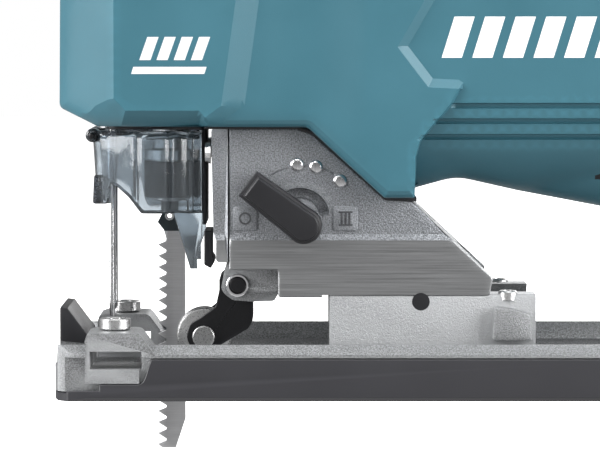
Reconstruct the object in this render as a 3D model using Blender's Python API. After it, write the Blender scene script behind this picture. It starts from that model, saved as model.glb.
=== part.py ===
"""Cordless D-handle jigsaw, built as an assembly of separate pieces.

Frame: origin in the middle of the sole's underside, front of the tool towards -X,
left side towards -Y, up +Z. Lengths below are in millimetres; finish_mesh() makes them metres.
"""

import math

import bmesh
import bpy
from mathutils import Matrix, Vector

# ---------------------------------------------------------------- driving dimensions
GAP = 0.3            # clearance between pieces that rest on each other

SOLE_LENGTH = 160.0
SOLE_HALF_WIDTH = 38.5
SHOE_FLOOR = 2.3     # thickness of the plastic shoe under the cast base
SHOE_WALL = 1.6
BASE_BOTTOM = SHOE_FLOOR + GAP
BASE_DECK = 6.4      # top of the flat part of the base
RIM_TOP = 15.0

BEVEL_AXIS_Z = 14.0  # the base tilts about a line along X at this height
SADDLE_RADIUS = 26.3
SADDLE_HALF_WIDTH = 23.0
SADDLE_FRONT = -6.0
SADDLE_REAR = 50.0
ARCH_REAR = 29.0     # behind this the saddle's walls are low
WALL_TOP = 27.6

BODY_BOTTOM = 73.0   # underside of the plastic body over the gear housing
BODY_HALF_WIDTH = 32.0
HANDLE_HALF_WIDTH = 17.5
WALL = 3.0

BLADE_X = -49.8      # middle of the blade, seen from the side
BLADE_HALF_THICK = 0.75
HALF_STROKE = 13.0
GUIDE_PIVOT = (-58.2, 140.5)

CRANK_Z = 104.5
MODULE = 0.9
GEAR_TEETH = 40
PINION_TEETH = 10
FAN_BLADES = 7
MOTOR_Z = CRANK_Z - MODULE * (GEAR_TEETH + PINION_TEETH) / 2

RETAINER_PIVOT = (-31.1, 29.3)
ROLLER_AXIS = (-40.6, 14.6)
ROLLER_RADIUS = 7.6

LEVER_AXIS = (-13.0, 46.5)
FENCE_SCREW_X = -63.9
FENCE_SCREW_Y = 28.0
SHOE_SCREWS = ((68.0, 24.0), (68.0, -24.0))

CHIP_HINGE = (-71.5, 70.6)
WIRE_X = -65.8
LOCK_BUTTON = (34.0, 184.0)
DIAL_AXIS = (67.0, 196.5)

BATTERY_FRONT = 108.5
BATTERY_REAR = 170.0
BATTERY_BOTTOM = 52.0
BATTERY_TOP = 165.0
BATTERY_HALF_WIDTH = 37.5

SCREW_SPOTS = ((-70.0, 84.0), (-70.0, 116.0), (-31.0, 186.0), (98.0, 60.0), (94.0, 176.0))


# ---------------------------------------------------------------- materials
PAINTS = {
    "body_plastic": ((0.045, 0.20, 0.25), 0.45, 0.0),
    "black_plastic": ((0.012, 0.012, 0.014), 0.5, 0.0),
    "rubber": ((0.015, 0.015, 0.016), 0.8, 0.0),
    "cast_aluminium": ((0.36, 0.36, 0.36), 0.5, 0.9),
    "steel": ((0.55, 0.55, 0.56), 0.3, 1.0),
    "blade_steel": ((0.45, 0.45, 0.46), 0.35, 1.0),
    "smoked_plastic": ((0.25, 0.29, 0.33), 0.1, 0.0),
    "brass": ((0.6, 0.42, 0.16), 0.4, 1.0),
    "copper": ((0.6, 0.25, 0.12), 0.4, 1.0),
    "board": ((0.02, 0.12, 0.05), 0.5, 0.0),
    "cells": ((0.15, 0.25, 0.45), 0.4, 0.0),
}


def material(name):
    """The shared Principled material of this name."""
    if name in bpy.data.materials:
        return bpy.data.materials[name]
    colour, roughness, metallic = PAINTS[name]
    made = bpy.data.materials.new(name)
    made.use_nodes = True
    shader = made.node_tree.nodes["Principled BSDF"]
    shader.inputs["Base Color"].default_value = (*colour, 1.0)
    shader.inputs["Roughness"].default_value = roughness
    shader.inputs["Metallic"].default_value = metallic
    return made


# ---------------------------------------------------------------- mesh helpers
def mm(*values):
    return Vector([0.001 * value for value in values])


def clear_scene():
    for obj in list(bpy.data.objects):
        bpy.data.objects.remove(obj, do_unlink=True)


def finish_mesh(name, bm, paint=None, smooth=False, pivot=None):
    """Turns a bmesh in millimetres into an object whose origin is at pivot."""
    shift = Vector(pivot) if pivot else Vector((0, 0, 0))
    bmesh.ops.translate(bm, verts=bm.verts, vec=-shift)
    bmesh.ops.scale(bm, verts=bm.verts, vec=(0.001, 0.001, 0.001))
    bmesh.ops.recalc_face_normals(bm, faces=bm.faces)
    mesh = bpy.data.meshes.new(name)
    bm.to_mesh(mesh)
    bm.free()
    if smooth:
        mesh.shade_smooth()
        mesh.set_sharp_from_angle(angle=math.radians(35))
    obj = bpy.data.objects.new(name, mesh)
    obj.location = mm(*shift)
    bpy.context.scene.collection.objects.link(obj)
    if paint:
        mesh.materials.append(material(paint))
    else:
        obj.hide_render = True
        obj.display_type = "WIRE"
    return obj


def boolean(obj, cutter, operation="DIFFERENCE"):
    step = obj.modifiers.new(operation.lower(), "BOOLEAN")
    step.operation = operation
    step.object = cutter
    step.solver = "EXACT"


def cut(obj, *cutters):
    for cutter in cutters:
        boolean(obj, cutter)
    return obj


def join(obj, *others):
    for other in others:
        boolean(obj, other, "UNION")
    return obj


def rounded(corners, steps=3, inward=0.0):
    """An outline from (u, v, radius) corners, moved inward, with an arc of the radius at each."""
    if inward:
        moved = inset([(u, v) for u, v, radius in corners], inward)
        corners = [(point.x, point.y, corner[2]) for point, corner in zip(moved, corners)]
    points = []
    count = len(corners)
    for index, (u, v, radius) in enumerate(corners):
        here = Vector((u, v))
        if radius <= 0:
            points.append(here)
            continue
        before = Vector(corners[index - 1][:2]) - here
        after = Vector(corners[(index + 1) % count][:2]) - here
        half = before.angle(after) / 2
        reach = min(radius / math.tan(half), 0.49 * before.length, 0.49 * after.length)
        start = here + before.normalized() * reach
        end = here + after.normalized() * reach
        for step in range(steps + 1):
            t = step / steps
            points.append(start.lerp(here, t).lerp(here.lerp(end, t), t))
    return points


def circle(u, v, radius, sides=24, start=0.0):
    angles = [start + 2 * math.pi * k / sides for k in range(sides)]
    return [Vector((u + radius * math.cos(a), v + radius * math.sin(a))) for a in angles]


def place(axis, along, point):
    """A point of an outline, put at the distance along its extrusion axis."""
    if axis == "X":
        return (along, point[0], point[1])
    if axis == "Y":
        return (point[0], along, point[1])
    return (point[0], point[1], along)


def prism_mesh(axis, low, high, outline, hole=None):
    """A closed prism: outline in the two other axes, extruded from low to high along axis."""
    bm = bmesh.new()
    loops = []
    for line in (outline, hole) if hole else (outline,):
        for along in (low, high):
            loops.append([bm.verts.new(place(axis, along, point)) for point in line])
    for pair in range(0, len(loops), 2):
        bottom, top = loops[pair], loops[pair + 1]
        count = len(bottom)
        for k in range(count):
            bm.faces.new((bottom[k], bottom[(k + 1) % count], top[(k + 1) % count], top[k]))
    if hole:
        count = len(loops[0])
        for outer, inner in ((loops[0], loops[2]), (loops[1], loops[3])):
            for k in range(count):
                n = (k + 1) % count
                bm.faces.new((outer[k], outer[n], inner[n], inner[k]))
    else:
        bm.faces.new(loops[0])
        bm.faces.new(loops[1])
    return bm


def prism(name, axis, low, high, outline, paint=None, hole=None, pivot=None, smooth=False):
    return finish_mesh(name, prism_mesh(axis, low, high, outline, hole), paint, smooth, pivot)


def box(name, low, high, paint=None, pivot=None):
    outline = [(low[0], low[1]), (high[0], low[1]), (high[0], high[1]), (low[0], high[1])]
    return prism(name, "Z", low[2], high[2], outline, paint, pivot=pivot)


def rod(name, axis, low, high, centre, radius, paint=None, sides=20, bore=None, pivot=None):
    """A round bar, or a tube when a bore radius is given."""
    outline = circle(*centre, radius, sides)
    hole = circle(*centre, bore, sides) if bore else None
    return prism(name, axis, low, high, outline, paint, hole, pivot, smooth=True)


def turned(name, axis, centre, profile, paint=None, sides=24, pivot=None):
    """A turned solid: profile is (along, radius) pairs; a radius of 0 closes an end."""
    bm = bmesh.new()
    rings = []
    for along, radius in profile:
        if radius <= 0:
            rings.append([bm.verts.new(place(axis, along, centre))])
        else:
            rings.append([bm.verts.new(place(axis, along, p)) for p in circle(*centre, radius, sides)])
    closed = profile[0][1] > 0
    last = len(rings) if closed else len(rings) - 1
    for index in range(last):
        one, two = rings[index], rings[(index + 1) % len(rings)]
        for k in range(sides):
            n = (k + 1) % sides
            corners = [one[k % len(one)], one[n % len(one)], two[n % len(two)], two[k % len(two)]]
            unique = list(dict.fromkeys(corners))
            if len(unique) > 2:
                bm.faces.new(unique)
    return finish_mesh(name, bm, paint, True, pivot)


def lofted(name, axis, sections, paint=None, pivot=None, smooth=False):
    """Joins outlines with the same number of points; each section is (along, outline)."""
    bm = bmesh.new()
    rings = [[bm.verts.new(place(axis, along, p)) for p in outline] for along, outline in sections]
    count = len(rings[0])
    for one, two in zip(rings, rings[1:]):
        for k in range(count):
            n = (k + 1) % count
            bm.faces.new((one[k], one[n], two[n], two[k]))
    bm.faces.new(rings[0])
    bm.faces.new(rings[-1])
    return finish_mesh(name, bm, paint, smooth, pivot)


def inset(outline, amount):
    """The outline moved inwards by amount (outwards when negative); any winding."""
    area = sum(a[0] * b[1] - b[0] * a[1] for a, b in zip(outline, outline[1:] + outline[:1]))
    turn = 1.0 if area > 0 else -1.0
    moved = []
    for index, here in enumerate(outline):
        before = (Vector(here) - Vector(outline[index - 1])).normalized()
        after = (Vector(outline[(index + 1) % len(outline)]) - Vector(here)).normalized()
        normal = Vector((-(before.y + after.y), before.x + after.x))
        if normal.length < 1e-6:
            normal = Vector((-after.y, after.x))
        normal.normalize()
        spread = max(0.5, normal.dot(Vector((-after.y, after.x))))
        moved.append(Vector(here) + normal * (turn * amount / spread))
    return moved


def bevelled_half(name, side, width, corners, bevel, paint=None):
    """One half of a body: from the split plane out to width, with a bevelled outer edge."""
    sections = [
        (side * GAP / 2, rounded(corners, 2)),
        (side * (width - bevel), rounded(corners, 2)),
        (side * (width - 0.3 * bevel), rounded(corners, 2, 0.25 * bevel)),
        (side * width, rounded(corners, 2, bevel)),
    ]
    return lofted(name, "Y", sections, paint)


# ---------------------------------------------------------------- outlines shared by the halves
# Each corner is (x, z, radius), seen from the side.
# The lower block: nose, gear section, lobe and motor section.
BLOCK_CORNERS = [
    (-80, 78, 2), (-69, 73, 2), (-12, 73, 3), (8.8, 54, 2), (16.9, 54, 2), (20, 57, 3),
    (28.7, 59.2, 8), (46, 55, 10), (72, 50, 8), (106, 50, 3), (106, 122, 4), (84, 122, 6),
    (20, 120, 6), (-14, 121, 8), (-40, 126, 10), (-64, 128, 12), (-80, 112, 10),
]
# The nose, the front pillar, the grip and the rear pillar.
LOOP_CORNERS = [
    (-80, 80, 3), (-12, 76, 3), (30, 72, 3), (106, 72, 3), (106, 168, 10), (98, 194, 18),
    (58, 207, 30), (-18, 203, 25), (-52, 187, 22), (-70, 150, 16), (-80, 116, 12),
]
# The opening that the fingers go through.
FINGER_CORNERS = [
    (-20, 121, 9), (74, 124, 12), (80, 148, 12), (68, 166, 12), (-14, 163, 12), (-30, 146, 14),
]


# ---------------------------------------------------------------- the plastic body
def finger_cutter(name, side):
    stations = (
        (-1.0, 0.0), (HANDLE_HALF_WIDTH - 7, 0.0), (HANDLE_HALF_WIDTH - 1, -4.0), (HANDLE_HALF_WIDTH + 1, -6.0),
    )
    return lofted(name, "Y", [(side * along, rounded(FINGER_CORNERS, 2, inward)) for along, inward in stations])


def boss_columns(name, side, radius, low, high):
    """One mesh that holds a short column at every housing screw."""
    bm = bmesh.new()
    for x, z in SCREW_SPOTS:
        piece = prism_mesh("Y", side * low, side * high, circle(x, z, radius, 12))
        mesh = bpy.data.meshes.new("column")
        piece.to_mesh(mesh)
        piece.free()
        bm.from_mesh(mesh)
        bpy.data.meshes.remove(mesh)
    return finish_mesh(name, bm)


def rail_outline(grow=0.0):
    """Plan view of the T-shaped battery rail behind the body, as half outlines per side."""
    return [
        (104.0, -0.0), (104.0, 18.0 + grow), (110.4 - grow, 18.0 + grow), (110.4 - grow, 24.0 + grow),
        (113.5 + grow, 24.0 + grow), (113.5 + grow, 0.0),
    ]


def housing_half(name, side):
    half = bevelled_half(name, side, BODY_HALF_WIDTH, BLOCK_CORNERS, 5.0, "body_plastic")
    loop = bevelled_half(name + "_loop", side, HANDLE_HALF_WIDTH, LOOP_CORNERS, 7.0)
    half_gap = GAP / 2
    rail = [(x, side * max(y, half_gap)) for x, y in rail_outline()]
    rails = prism(name + "_rail", "Z", 62, 140, rail)
    block_cavity = prism(
        name + "_block_cavity", "Y", -side * 1.0, side * (BODY_HALF_WIDTH - WALL), rounded(BLOCK_CORNERS, 1, WALL))
    loop_cavity = prism(
        name + "_loop_cavity", "Y", -side * 1.0, side * (HANDLE_HALF_WIDTH - WALL), rounded(LOOP_CORNERS, 1, WALL))
    wall_ring = prism(
        name + "_finger_wall", "Y", -side * 2.0, side * (BODY_HALF_WIDTH + 2), rounded(FINGER_CORNERS, 2, -WALL))
    cut(loop_cavity, wall_ring)
    columns = boss_columns(name + "_bosses", side, 5.4, -2, BODY_HALF_WIDTH + 1)
    cut(block_cavity, columns)
    cut(loop_cavity, columns)
    cut(loop, finger_cutter(name + "_finger", side))
    join(half, loop, rails)
    opening = prism(name + "_opening", "Y", -side * 1.0, side * (BODY_HALF_WIDTH + 4), rounded(FINGER_CORNERS, 2))
    cut(half, block_cavity, loop_cavity, opening)
    plunger_mouth = box(name + "_mouth", (-64, -11, 70), (-40.5, 11, 84.3))
    gear_mouth = box(name + "_gear_mouth", (-28, -19, 70), (-14, 19, 78))
    trigger_slot = box(name + "_trigger_slot", (-10.2, -8, 155), (24.6, 8, 175))
    dial_slot = box(name + "_dial_slot", (57.0, -4.6, 185), (77.0, 4.6, 215))
    terminal_window = box(name + "_terminal", (100, -14, 90), (118, 14, 150))
    pin_hole = rod(name + "_pin_hole", "Y", -16.4, 16.4, GUIDE_PIVOT, 2.15, sides=16)
    screw_holes = boss_columns(name + "_screw_holes", side, 1.9, -1, 12.5 if side < 0 else 40)
    cut(half, plunger_mouth, gear_mouth, trigger_slot, dial_slot, terminal_window, pin_hole, screw_holes)
    if side > 0:
        cut(half, boss_columns(name + "_head_wells", side, 3.8, 15.2, 40))
    else:
        cut(half, rod(name + "_lock_hole", "Y", -30, -8, LOCK_BUTTON, 5.6))
    return half


def housing_screws():
    """Pan-head screws put in from the right side."""
    for index, (x, z) in enumerate(SCREW_SPOTS, 1):
        profile = [(-11.5, 0), (-11.5, 1.5), (15.5, 1.5), (15.5, 3.4), (17.2, 2.6), (17.2, 0)]
        turned(f"housing_screw_{index}", "Y", (x, z), profile, "steel", sides=12)


def grip_pads():
    """Soft panels on both sides of the grip."""
    outline = rounded([(-12, 175, 5), (66, 177, 6), (84, 170, 6), (88, 178, 6), (60, 191, 14), (-22, 189, 8)], 2)
    for name, side in (("grip_pad_left", -1), ("grip_pad_right", 1)):
        outer = side * (HANDLE_HALF_WIDTH + GAP)
        sections = [
            (outer, outline),
            (outer + side * 1.0, outline),
            (outer + side * 1.8, inset(outline, 1.4)),
        ]
        pad = lofted(name, "Y", sections, "rubber")
        if side < 0:
            cut(pad, rod(name + "_hole", "Y", -30, -8, LOCK_BUTTON, 6.2))


# ---------------------------------------------------------------- gear housing
def concave_cutter(name, radius):
    return rod(name, "X", SADDLE_FRONT - 2, 60, (0, BEVEL_AXIS_Z), radius, sides=48)


def gear_housing():
    outline = rounded([
        (-33.3, 72.6, 0), (-15, 72.6, 2), (-10.7, 71.2, 2), (9.1, 53.4, 1.5), (16.1, 53.0, 1.5),
        (38.5, 32.0, 1), (38.1, 30.4, 0), (37.4, 26.7, 0), (-20, 26.7, 1), (-20, 34.2, 1), (-33.3, 34.2, 0),
    ], steps=2)
    housing = prism("gear_housing", "Y", -SADDLE_HALF_WIDTH, SADDLE_HALF_WIDTH, outline, "cast_aluminium")
    for side in (-1, 1):
        ear = prism(f"ear_{side}", "Y", side * 8.0, side * 13.5, rounded([
            (-33.2, 36, 0), (-34.6, 34, 1), (-35.6, 28.6, 2), (-34.8, 27, 2), (-32.4, 25.2, 2), (-27, 24.8, 2),
            (-21, 25, 1), (-20, 27, 1), (-19.6, 36, 0)], 2))
        join(housing, ear)
    cut(housing, concave_cutter("housing_arch", SADDLE_RADIUS + GAP))
    cavity = prism("gear_cavity", "Y", -19, 19, [(-30, 80), (-30, 45), (-4, 45), (-4, 60), (-18, 72), (-18, 80)])
    pin_hole = rod("ear_hole", "Y", -20, 20, RETAINER_PIVOT, 2.6)
    shaft_hole = rod("lever_hole", "Y", -24, -17.4, LEVER_AXIS, 4.3)
    bolt_hole = rod("bolt_hole", "Z", 30, 48, (21.5, 0), 2.8)
    front_screws = [rod(f"cover_screw_hole_{s}", "X", -34, -30.5, (s * 17.5, 66), 1.7, sides=12) for s in (-1, 1)]
    return cut(housing, cavity, pin_hole, shaft_hole, bolt_hole, *front_screws)


def gear_housing_cover():
    """The strip screwed over the front of the gear housing."""
    outline = rounded([
        (-38.0, 72.6, 1), (-33.6, 72.6, 0), (-33.6, 36.3, 0), (-36.7, 36.3, 1), (-37.5, 44.5, 0), (-38, 69, 0)], 2)
    cover = prism("gear_housing_cover", "Y", -SADDLE_HALF_WIDTH, SADDLE_HALF_WIDTH, outline, "cast_aluminium")
    for side in (-1, 1):
        cut(cover, rod(f"cover_hole_{side}", "X", -42, -30, (side * 17.5, 66), 1.9, sides=12))
        turned(f"cover_screw_{'left' if side < 0 else 'right'}", "X", (side * 17.5, 66), [
            (-31.0, 0), (-31.0, 1.3), (-38.3, 1.3), (-38.3, 3.2), (-39.8, 2.6), (-39.8, 0),
        ], "steel", sides=12)


def front_hook():
    """The black stop plate hung on the front of the strip."""
    outline = [(-40.4, 44), (-38.3, 44), (-38.3, 37.0), (-37.4, 35.6), (-38.6, 33.6), (-40.4, 34.6)]
    prism("front_hook", "Y", -9, 9, outline, "black_plastic")


# ---------------------------------------------------------------- base
def plan_outline(half_width, grow=0.0):
    half = SOLE_LENGTH / 2 + grow
    return rounded([(-half, -half_width, 9), (half, -half_width, 6), (half, half_width, 6), (-half, half_width, 9)], 3)


def mirrored(profile):
    """A profile given for +Y, closed by its mirror image."""
    return list(profile) + [(-y, z) for y, z in reversed(profile)]


def sole_window(name):
    return prism(name, "Z", -5, 30, rounded([(-60.5, -18, 5), (-9, -18, 4), (-9, 18, 4), (-60.5, 18, 5)], 2))


def base():
    rim = SOLE_HALF_WIDTH - 0.2
    under = SOLE_HALF_WIDTH - SHOE_WALL - GAP
    profile = mirrored([
        (under, BASE_BOTTOM), (under, 11.8), (rim, 11.8), (rim, 12.6), (35.4, RIM_TOP), (34.2, RIM_TOP),
        (32.8, 10.2), (29.0, 9.6), (25.2, BASE_DECK),
    ])
    plate = prism("base", "X", -SOLE_LENGTH / 2, SOLE_LENGTH / 2, profile, "cast_aluminium")
    boolean(plate, prism("base_plan", "Z", 0, 60, plan_outline(SOLE_HALF_WIDTH)), "INTERSECT")
    saddle = prism("saddle", "X", SADDLE_FRONT, SADDLE_REAR, saddle_outline())
    join(plate, saddle)
    for side in (-1, 1):
        low, high = sorted((side * 19.5, side * (SOLE_HALF_WIDTH - 0.2)))
        boss = prism(f"boss_{side}", "Y", low, high, rounded(
            [(-71.5, 4.9, 0), (-71.5, 18.4, 2), (-57, 18.4, 2), (-52.5, 12.2, 0), (-57, 12.2, 0), (-57, 4.9, 0)], 2))
        low, high = sorted((side * 19.5, side * (under - 0.1)))
        foot = box(f"boss_foot_{side}", (-58, low, 4.9), (-52.5, high, 12.4))
        join(plate, boss, foot)
    join(plate, prism("front_lip", "Y", -14, 14, [(-79.8, 5), (-79.8, 23), (-77.8, 23), (-71.5, 14), (-71.5, 5)]))
    fence = box("fence_slot", (-70.2, -45, 8.7), (-56.4, 45, 13.5))
    chamber = prism("saddle_hollow", "X", -20, 60, hollow_outline())
    slot = box("bevel_slot", (18.2, -20.5, 20), (24.8, 20.5, 45))
    screw_holes = [
        rod(f"fence_thread_{s}", "Z", 10, 25, (FENCE_SCREW_X, s * FENCE_SCREW_Y), 2.7, sides=16) for s in (-1, 1)]
    seats = [
        rod(f"shoe_screw_hole_{k}", "Z", 0, 5.6, spot, 1.9, sides=12) for k, spot in enumerate(SHOE_SCREWS)]
    low_rear = box("low_rear", (ARCH_REAR, -30, WALL_TOP), (60, 30, 60))
    return cut(plate, sole_window("base_window"), fence, chamber, slot, low_rear, *screw_holes, *seats)


def saddle_outline():
    """End view of the saddle: two walls under an arch about the bevel axis."""
    limit = math.acos(SADDLE_HALF_WIDTH / SADDLE_RADIUS)
    steps = 14
    arch = []
    for k in range(steps + 1):
        angle = limit + (math.pi - 2 * limit) * k / steps
        arch.append((SADDLE_RADIUS * math.cos(angle), BEVEL_AXIS_Z + SADDLE_RADIUS * math.sin(angle)))
    return [(-SADDLE_HALF_WIDTH, 4.5), (SADDLE_HALF_WIDTH, 4.5)] + arch


def hollow_outline():
    """End view of the space under the arch, where the clamp bolt's head swings."""
    radius = 20.0
    steps = 10
    arch = []
    for k in range(steps + 1):
        angle = math.pi * k / steps
        arch.append((radius * math.cos(angle) * 0.94, BEVEL_AXIS_Z + radius * math.sin(angle)))
    return [(-18.8, BASE_DECK), (18.8, BASE_DECK)] + arch


def shoe():
    """The plastic cover plate that slides on the work, with a skirt up its sides."""
    outer = SOLE_HALF_WIDTH
    inner = SOLE_HALF_WIDTH - SHOE_WALL
    profile = mirrored([(outer - 1.2, 0), (outer, 1.2), (outer, 11.4), (inner, 11.4), (inner, SHOE_FLOOR)])
    plate = prism("cover_plate", "X", -SOLE_LENGTH / 2, SOLE_LENGTH / 2, profile, "black_plastic")
    boolean(plate, prism("shoe_plan", "Z", -10, 60, plan_outline(SOLE_HALF_WIDTH + 0.05)), "INTERSECT")
    step = prism("shoe_step", "Y", -50, 50, rounded(
        [(-90, 4.6, 0), (-56, 4.6, 2.4), (-53.4, 12.5, 0), (-90, 12.5, 0)], 3))
    nose_step = box("shoe_nose_step", (-90, -50, 2.9), (-67.6, 50, 12.5))
    cut(plate, step, nose_step, sole_window("shoe_window"))
    for index, spot in enumerate(SHOE_SCREWS, 1):
        cut(plate, rod(f"shoe_hole_{index}", "Z", -1, 5, spot, 3.2, sides=12))
        turned(f"shoe_screw_{index}", "Z", spot, [
            (5.2, 0), (5.2, 1.6), (1.6, 1.6), (0.7, 2.9), (0.5, 2.9), (0.5, 0)], "steel", sides=12)
    return plate


def fence_screws():
    for name, side in (("fence_screw_left", -1), ("fence_screw_right", 1)):
        spot = (FENCE_SCREW_X, side * FENCE_SCREW_Y)
        screw = turned(name, "Z", spot, [
            (14.0, 0), (14.0, 2.4), (18.7, 2.4), (18.7, 4.25), (21.6, 4.25), (21.6, 0)], "steel", sides=20)
        cut(screw, rod(name + "_socket", "Z", 19.6, 23, spot, 2.3, sides=6))


def bevel_bolt():
    """The flanged bolt that clamps the base to the gear housing from below."""
    turned("bevel_bolt", "Z", (21.5, 0), [
        (46, 0), (46, 2.5), (32.0, 2.5), (32.0, 5.6), (30.2, 5.6), (30.2, 4.6), (25.5, 4.6), (25.5, 0)], "steel")


# ---------------------------------------------------------------- blade drive
def blade_outline():
    """Side view of the blade: toothed edge to the front, shank neck at the top."""
    tip = -17.0
    pitch = 3.1
    front = -53.4
    gullet = -51.3
    points = [(-45.9, -9.0), (-48.6, tip), (-52.4, tip)]
    z = tip + 0.8
    while z < 41.0:
        points += [(front, z), (gullet, z + 0.9), (gullet + 0.2, z + 1.6)]
        z += pitch
    points += [(-51.8, 43.7), (-53.5, 45.9), (-52.3, 48.2), (-52.3, 60), (-47.3, 60), (-47.3, 47), (-45.9, 44)]
    return points


def blade():
    made = prism("blade", "Y", -BLADE_HALF_THICK, BLADE_HALF_THICK, blade_outline(), "blade_steel")
    return cut(made, rod("blade_hole", "Y", -3, 3, (-50.2, 47.6), 0.7, sides=10))


def plunger():
    """The rod with its crosswise yoke, driven up and down by the crank pin."""
    made = rod("plunger_rod", "Z", 66.5, 150, (BLADE_X, 0), 5.0, "steel", sides=20)
    yoke = box("yoke", (-49, -18.5, CRANK_Z - 5), (-41.2, 18.5, CRANK_Z + 5))
    join(made, yoke)
    return cut(made, box("yoke_slot", (-44.2, -16.5, CRANK_Z - 3.4), (-40, 16.5, CRANK_Z + 3.4)))


def blade_clamp():
    clamp = rod("blade_clamp", "Z", 52, 66.2, (BLADE_X, 0), 5.8, "steel", sides=20)
    cut(clamp, box("clamp_slot", (-52.9, -1.1, 50), (-46.7, 1.1, 60.5)))
    collar = rod("clamp_collar", "Z", 53, 63, (BLADE_X, 0), 8.2, "black_plastic", sides=20, bore=6.1,
                 pivot=(BLADE_X, 0, 58))
    tab = box("collar_tab", (-52, 7.2, 54), (-47.6, 12.5, 59))
    join(collar, tab)
    turned("clamp_spring", "Z", (BLADE_X, 0), [(63.6, 7.8), (65.9, 7.8), (65.9, 6.1), (63.6, 6.1)], "steel", sides=20)


def guide():
    """The swinging frame with the two bushes that the rod runs in."""
    frame = box("plunger_guide", (-61.5, -10, 79.6), (-58, 10, 144), "cast_aluminium")
    for index, (low, high) in enumerate(((79.6, 86), (126.5, 144))):
        block = box(f"guide_block_{index}", (-59, -10, low), (-40.8, 10, high))
        join(frame, block)
    bore = rod("guide_bore", "Z", 70, 145, (BLADE_X, 0), 7.6, sides=20)
    cut(frame, bore, rod("guide_pin_bore", "Y", -20, 20, GUIDE_PIVOT, 2.1, sides=16))
    for name, low, high in (("lower_bush", 79.6, 86), ("upper_bush", 126.5, 137)):
        rod(name, "Z", low, high, (BLADE_X, 0), 7.3, "brass", sides=20, bore=5.3)
    rod("guide_pivot_pin", "Y", -16.0, 16.0, GUIDE_PIVOT, 2.0, "steel", sides=16)


def tooth_outline(teeth, centre, phase):
    """A toothed wheel seen from its end, with slim straight-sided teeth."""
    pitch_radius = MODULE * teeth / 2
    step = 2 * math.pi / teeth
    points = []
    for k in range(teeth):
        middle = phase + k * step
        for offset, radius in ((-0.27, -0.9), (-0.12, 0.7), (0.12, 0.7), (0.27, -0.9)):
            angle = middle + offset * step
            reach = pitch_radius + radius * MODULE
            points.append((centre[0] + reach * math.cos(angle), centre[1] + reach * math.sin(angle)))
    return points


def crank():
    centre = (0, CRANK_Z)
    down = -math.pi / 2
    gear = prism("crank_gear", "X", -37, -29, tooth_outline(GEAR_TEETH, centre, down + math.pi / GEAR_TEETH), "steel",
                 pivot=(-33, 0, CRANK_Z))
    join(gear, rod("crank_pin", "X", -40.7, -36, (13.0, CRANK_Z), 3.0, sides=16))
    cut(gear, rod("gear_bore", "X", -50, -20, centre, 4.3))
    rod("gear_shaft", "X", -38, -12, centre, 4.0, "steel")
    rod("gear_bearing_front", "X", -27.5, -22.5, centre, 9.0, "steel", bore=4.3)
    rod("gear_bearing_rear", "X", -19, -14, centre, 9.0, "steel", bore=4.3)


def motor():
    centre = (0, MOTOR_Z)
    shaft = rod("motor_shaft", "X", -26, 99, centre, 2.6, "steel")
    up = math.pi / 2
    join(shaft, prism("pinion", "X", -38, -25, tooth_outline(PINION_TEETH, centre, up)))
    rod("rotor_core", "X", 40, 70, centre, 12.5, "steel", bore=2.9)
    rod("stator", "X", 38, 72, centre, 21.5, "copper", bore=13.2)
    fan = rod("cooling_fan", "X", 78, 80, centre, 20.0, "black_plastic", sides=20, bore=2.9)
    for k in range(FAN_BLADES):
        angle = 2 * math.pi * k / FAN_BLADES
        blade_box = box(f"fan_blade_{k}", (79, -1.0, 6.0), (87, 1.0, 19.5))
        turn = Matrix.Rotation(angle, 4, "X")
        blade_box.data.transform(turn)
        blade_box.location = mm(0, 0, MOTOR_Z)
        join(fan, blade_box)
    join(fan, rod("fan_hub", "X", 79, 87, centre, 7.0, sides=20, bore=2.9))
    rod("motor_bearing_front", "X", 14, 20, centre, 9.0, "steel", bore=2.9)
    rod("motor_bearing_rear", "X", 90, 95, centre, 7.0, "steel", bore=2.9)
    prism("sensor_board", "X", 73.5, 75, circle(*centre, 20.5, 20), "board", circle(*centre, 8.0, 20))


# ---------------------------------------------------------------- roller and orbital lever
def retainer():
    outline = rounded([
        (-36.3, 31.5, 2), (-36.3, 27.5, 1), (-37.3, 22.8, 1), (-41.5, 19.6, 2), (-44.4, 18.0, 2), (-45.4, 14.5, 3),
        (-44.0, 10.9, 2), (-40.6, 10.0, 2), (-36.5, 11.9, 2), (-28.3, 16.8, 2), (-27.0, 19.0, 2), (-27.0, 25.0, 2),
        (-26.0, 31.5, 3), (-31.1, 33.8, 4),
    ], 2)
    fork = prism("roller_retainer", "Y", -7.3, 7.3, outline, "black_plastic", pivot=(RETAINER_PIVOT[0], 0,
                 RETAINER_PIVOT[1]))
    cut(fork, box("fork_slot", (-55, -4.5, 0), (-31.6, 4.5, 23.6)))
    cut(fork, rod("fork_pin_hole", "Y", -20, 20, RETAINER_PIVOT, 2.45))
    cut(fork, rod("roller_pin_hole", "Y", -20, 20, ROLLER_AXIS, 1.95))
    rod("retainer_pin", "Y", -14.0, 14.0, RETAINER_PIVOT, 2.3, "steel")
    groove = 4.95
    turned("roller", "Y", ROLLER_AXIS, [
        (-4.1, ROLLER_RADIUS), (-1.5, ROLLER_RADIUS), (-1.15, groove), (1.15, groove), (1.5, ROLLER_RADIUS),
        (4.1, ROLLER_RADIUS), (4.1, 2.0), (-4.1, 2.0),
    ], "steel", sides=24, pivot=(ROLLER_AXIS[0], 0, ROLLER_AXIS[1]))
    turned("roller_pin", "Y", ROLLER_AXIS, [
        (-8.9, 0), (-8.9, 3.1), (-7.6, 3.1), (-7.6, 1.8), (7.6, 1.8), (7.6, 3.1), (8.9, 3.1), (8.9, 0)], "steel",
        sides=16)


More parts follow.
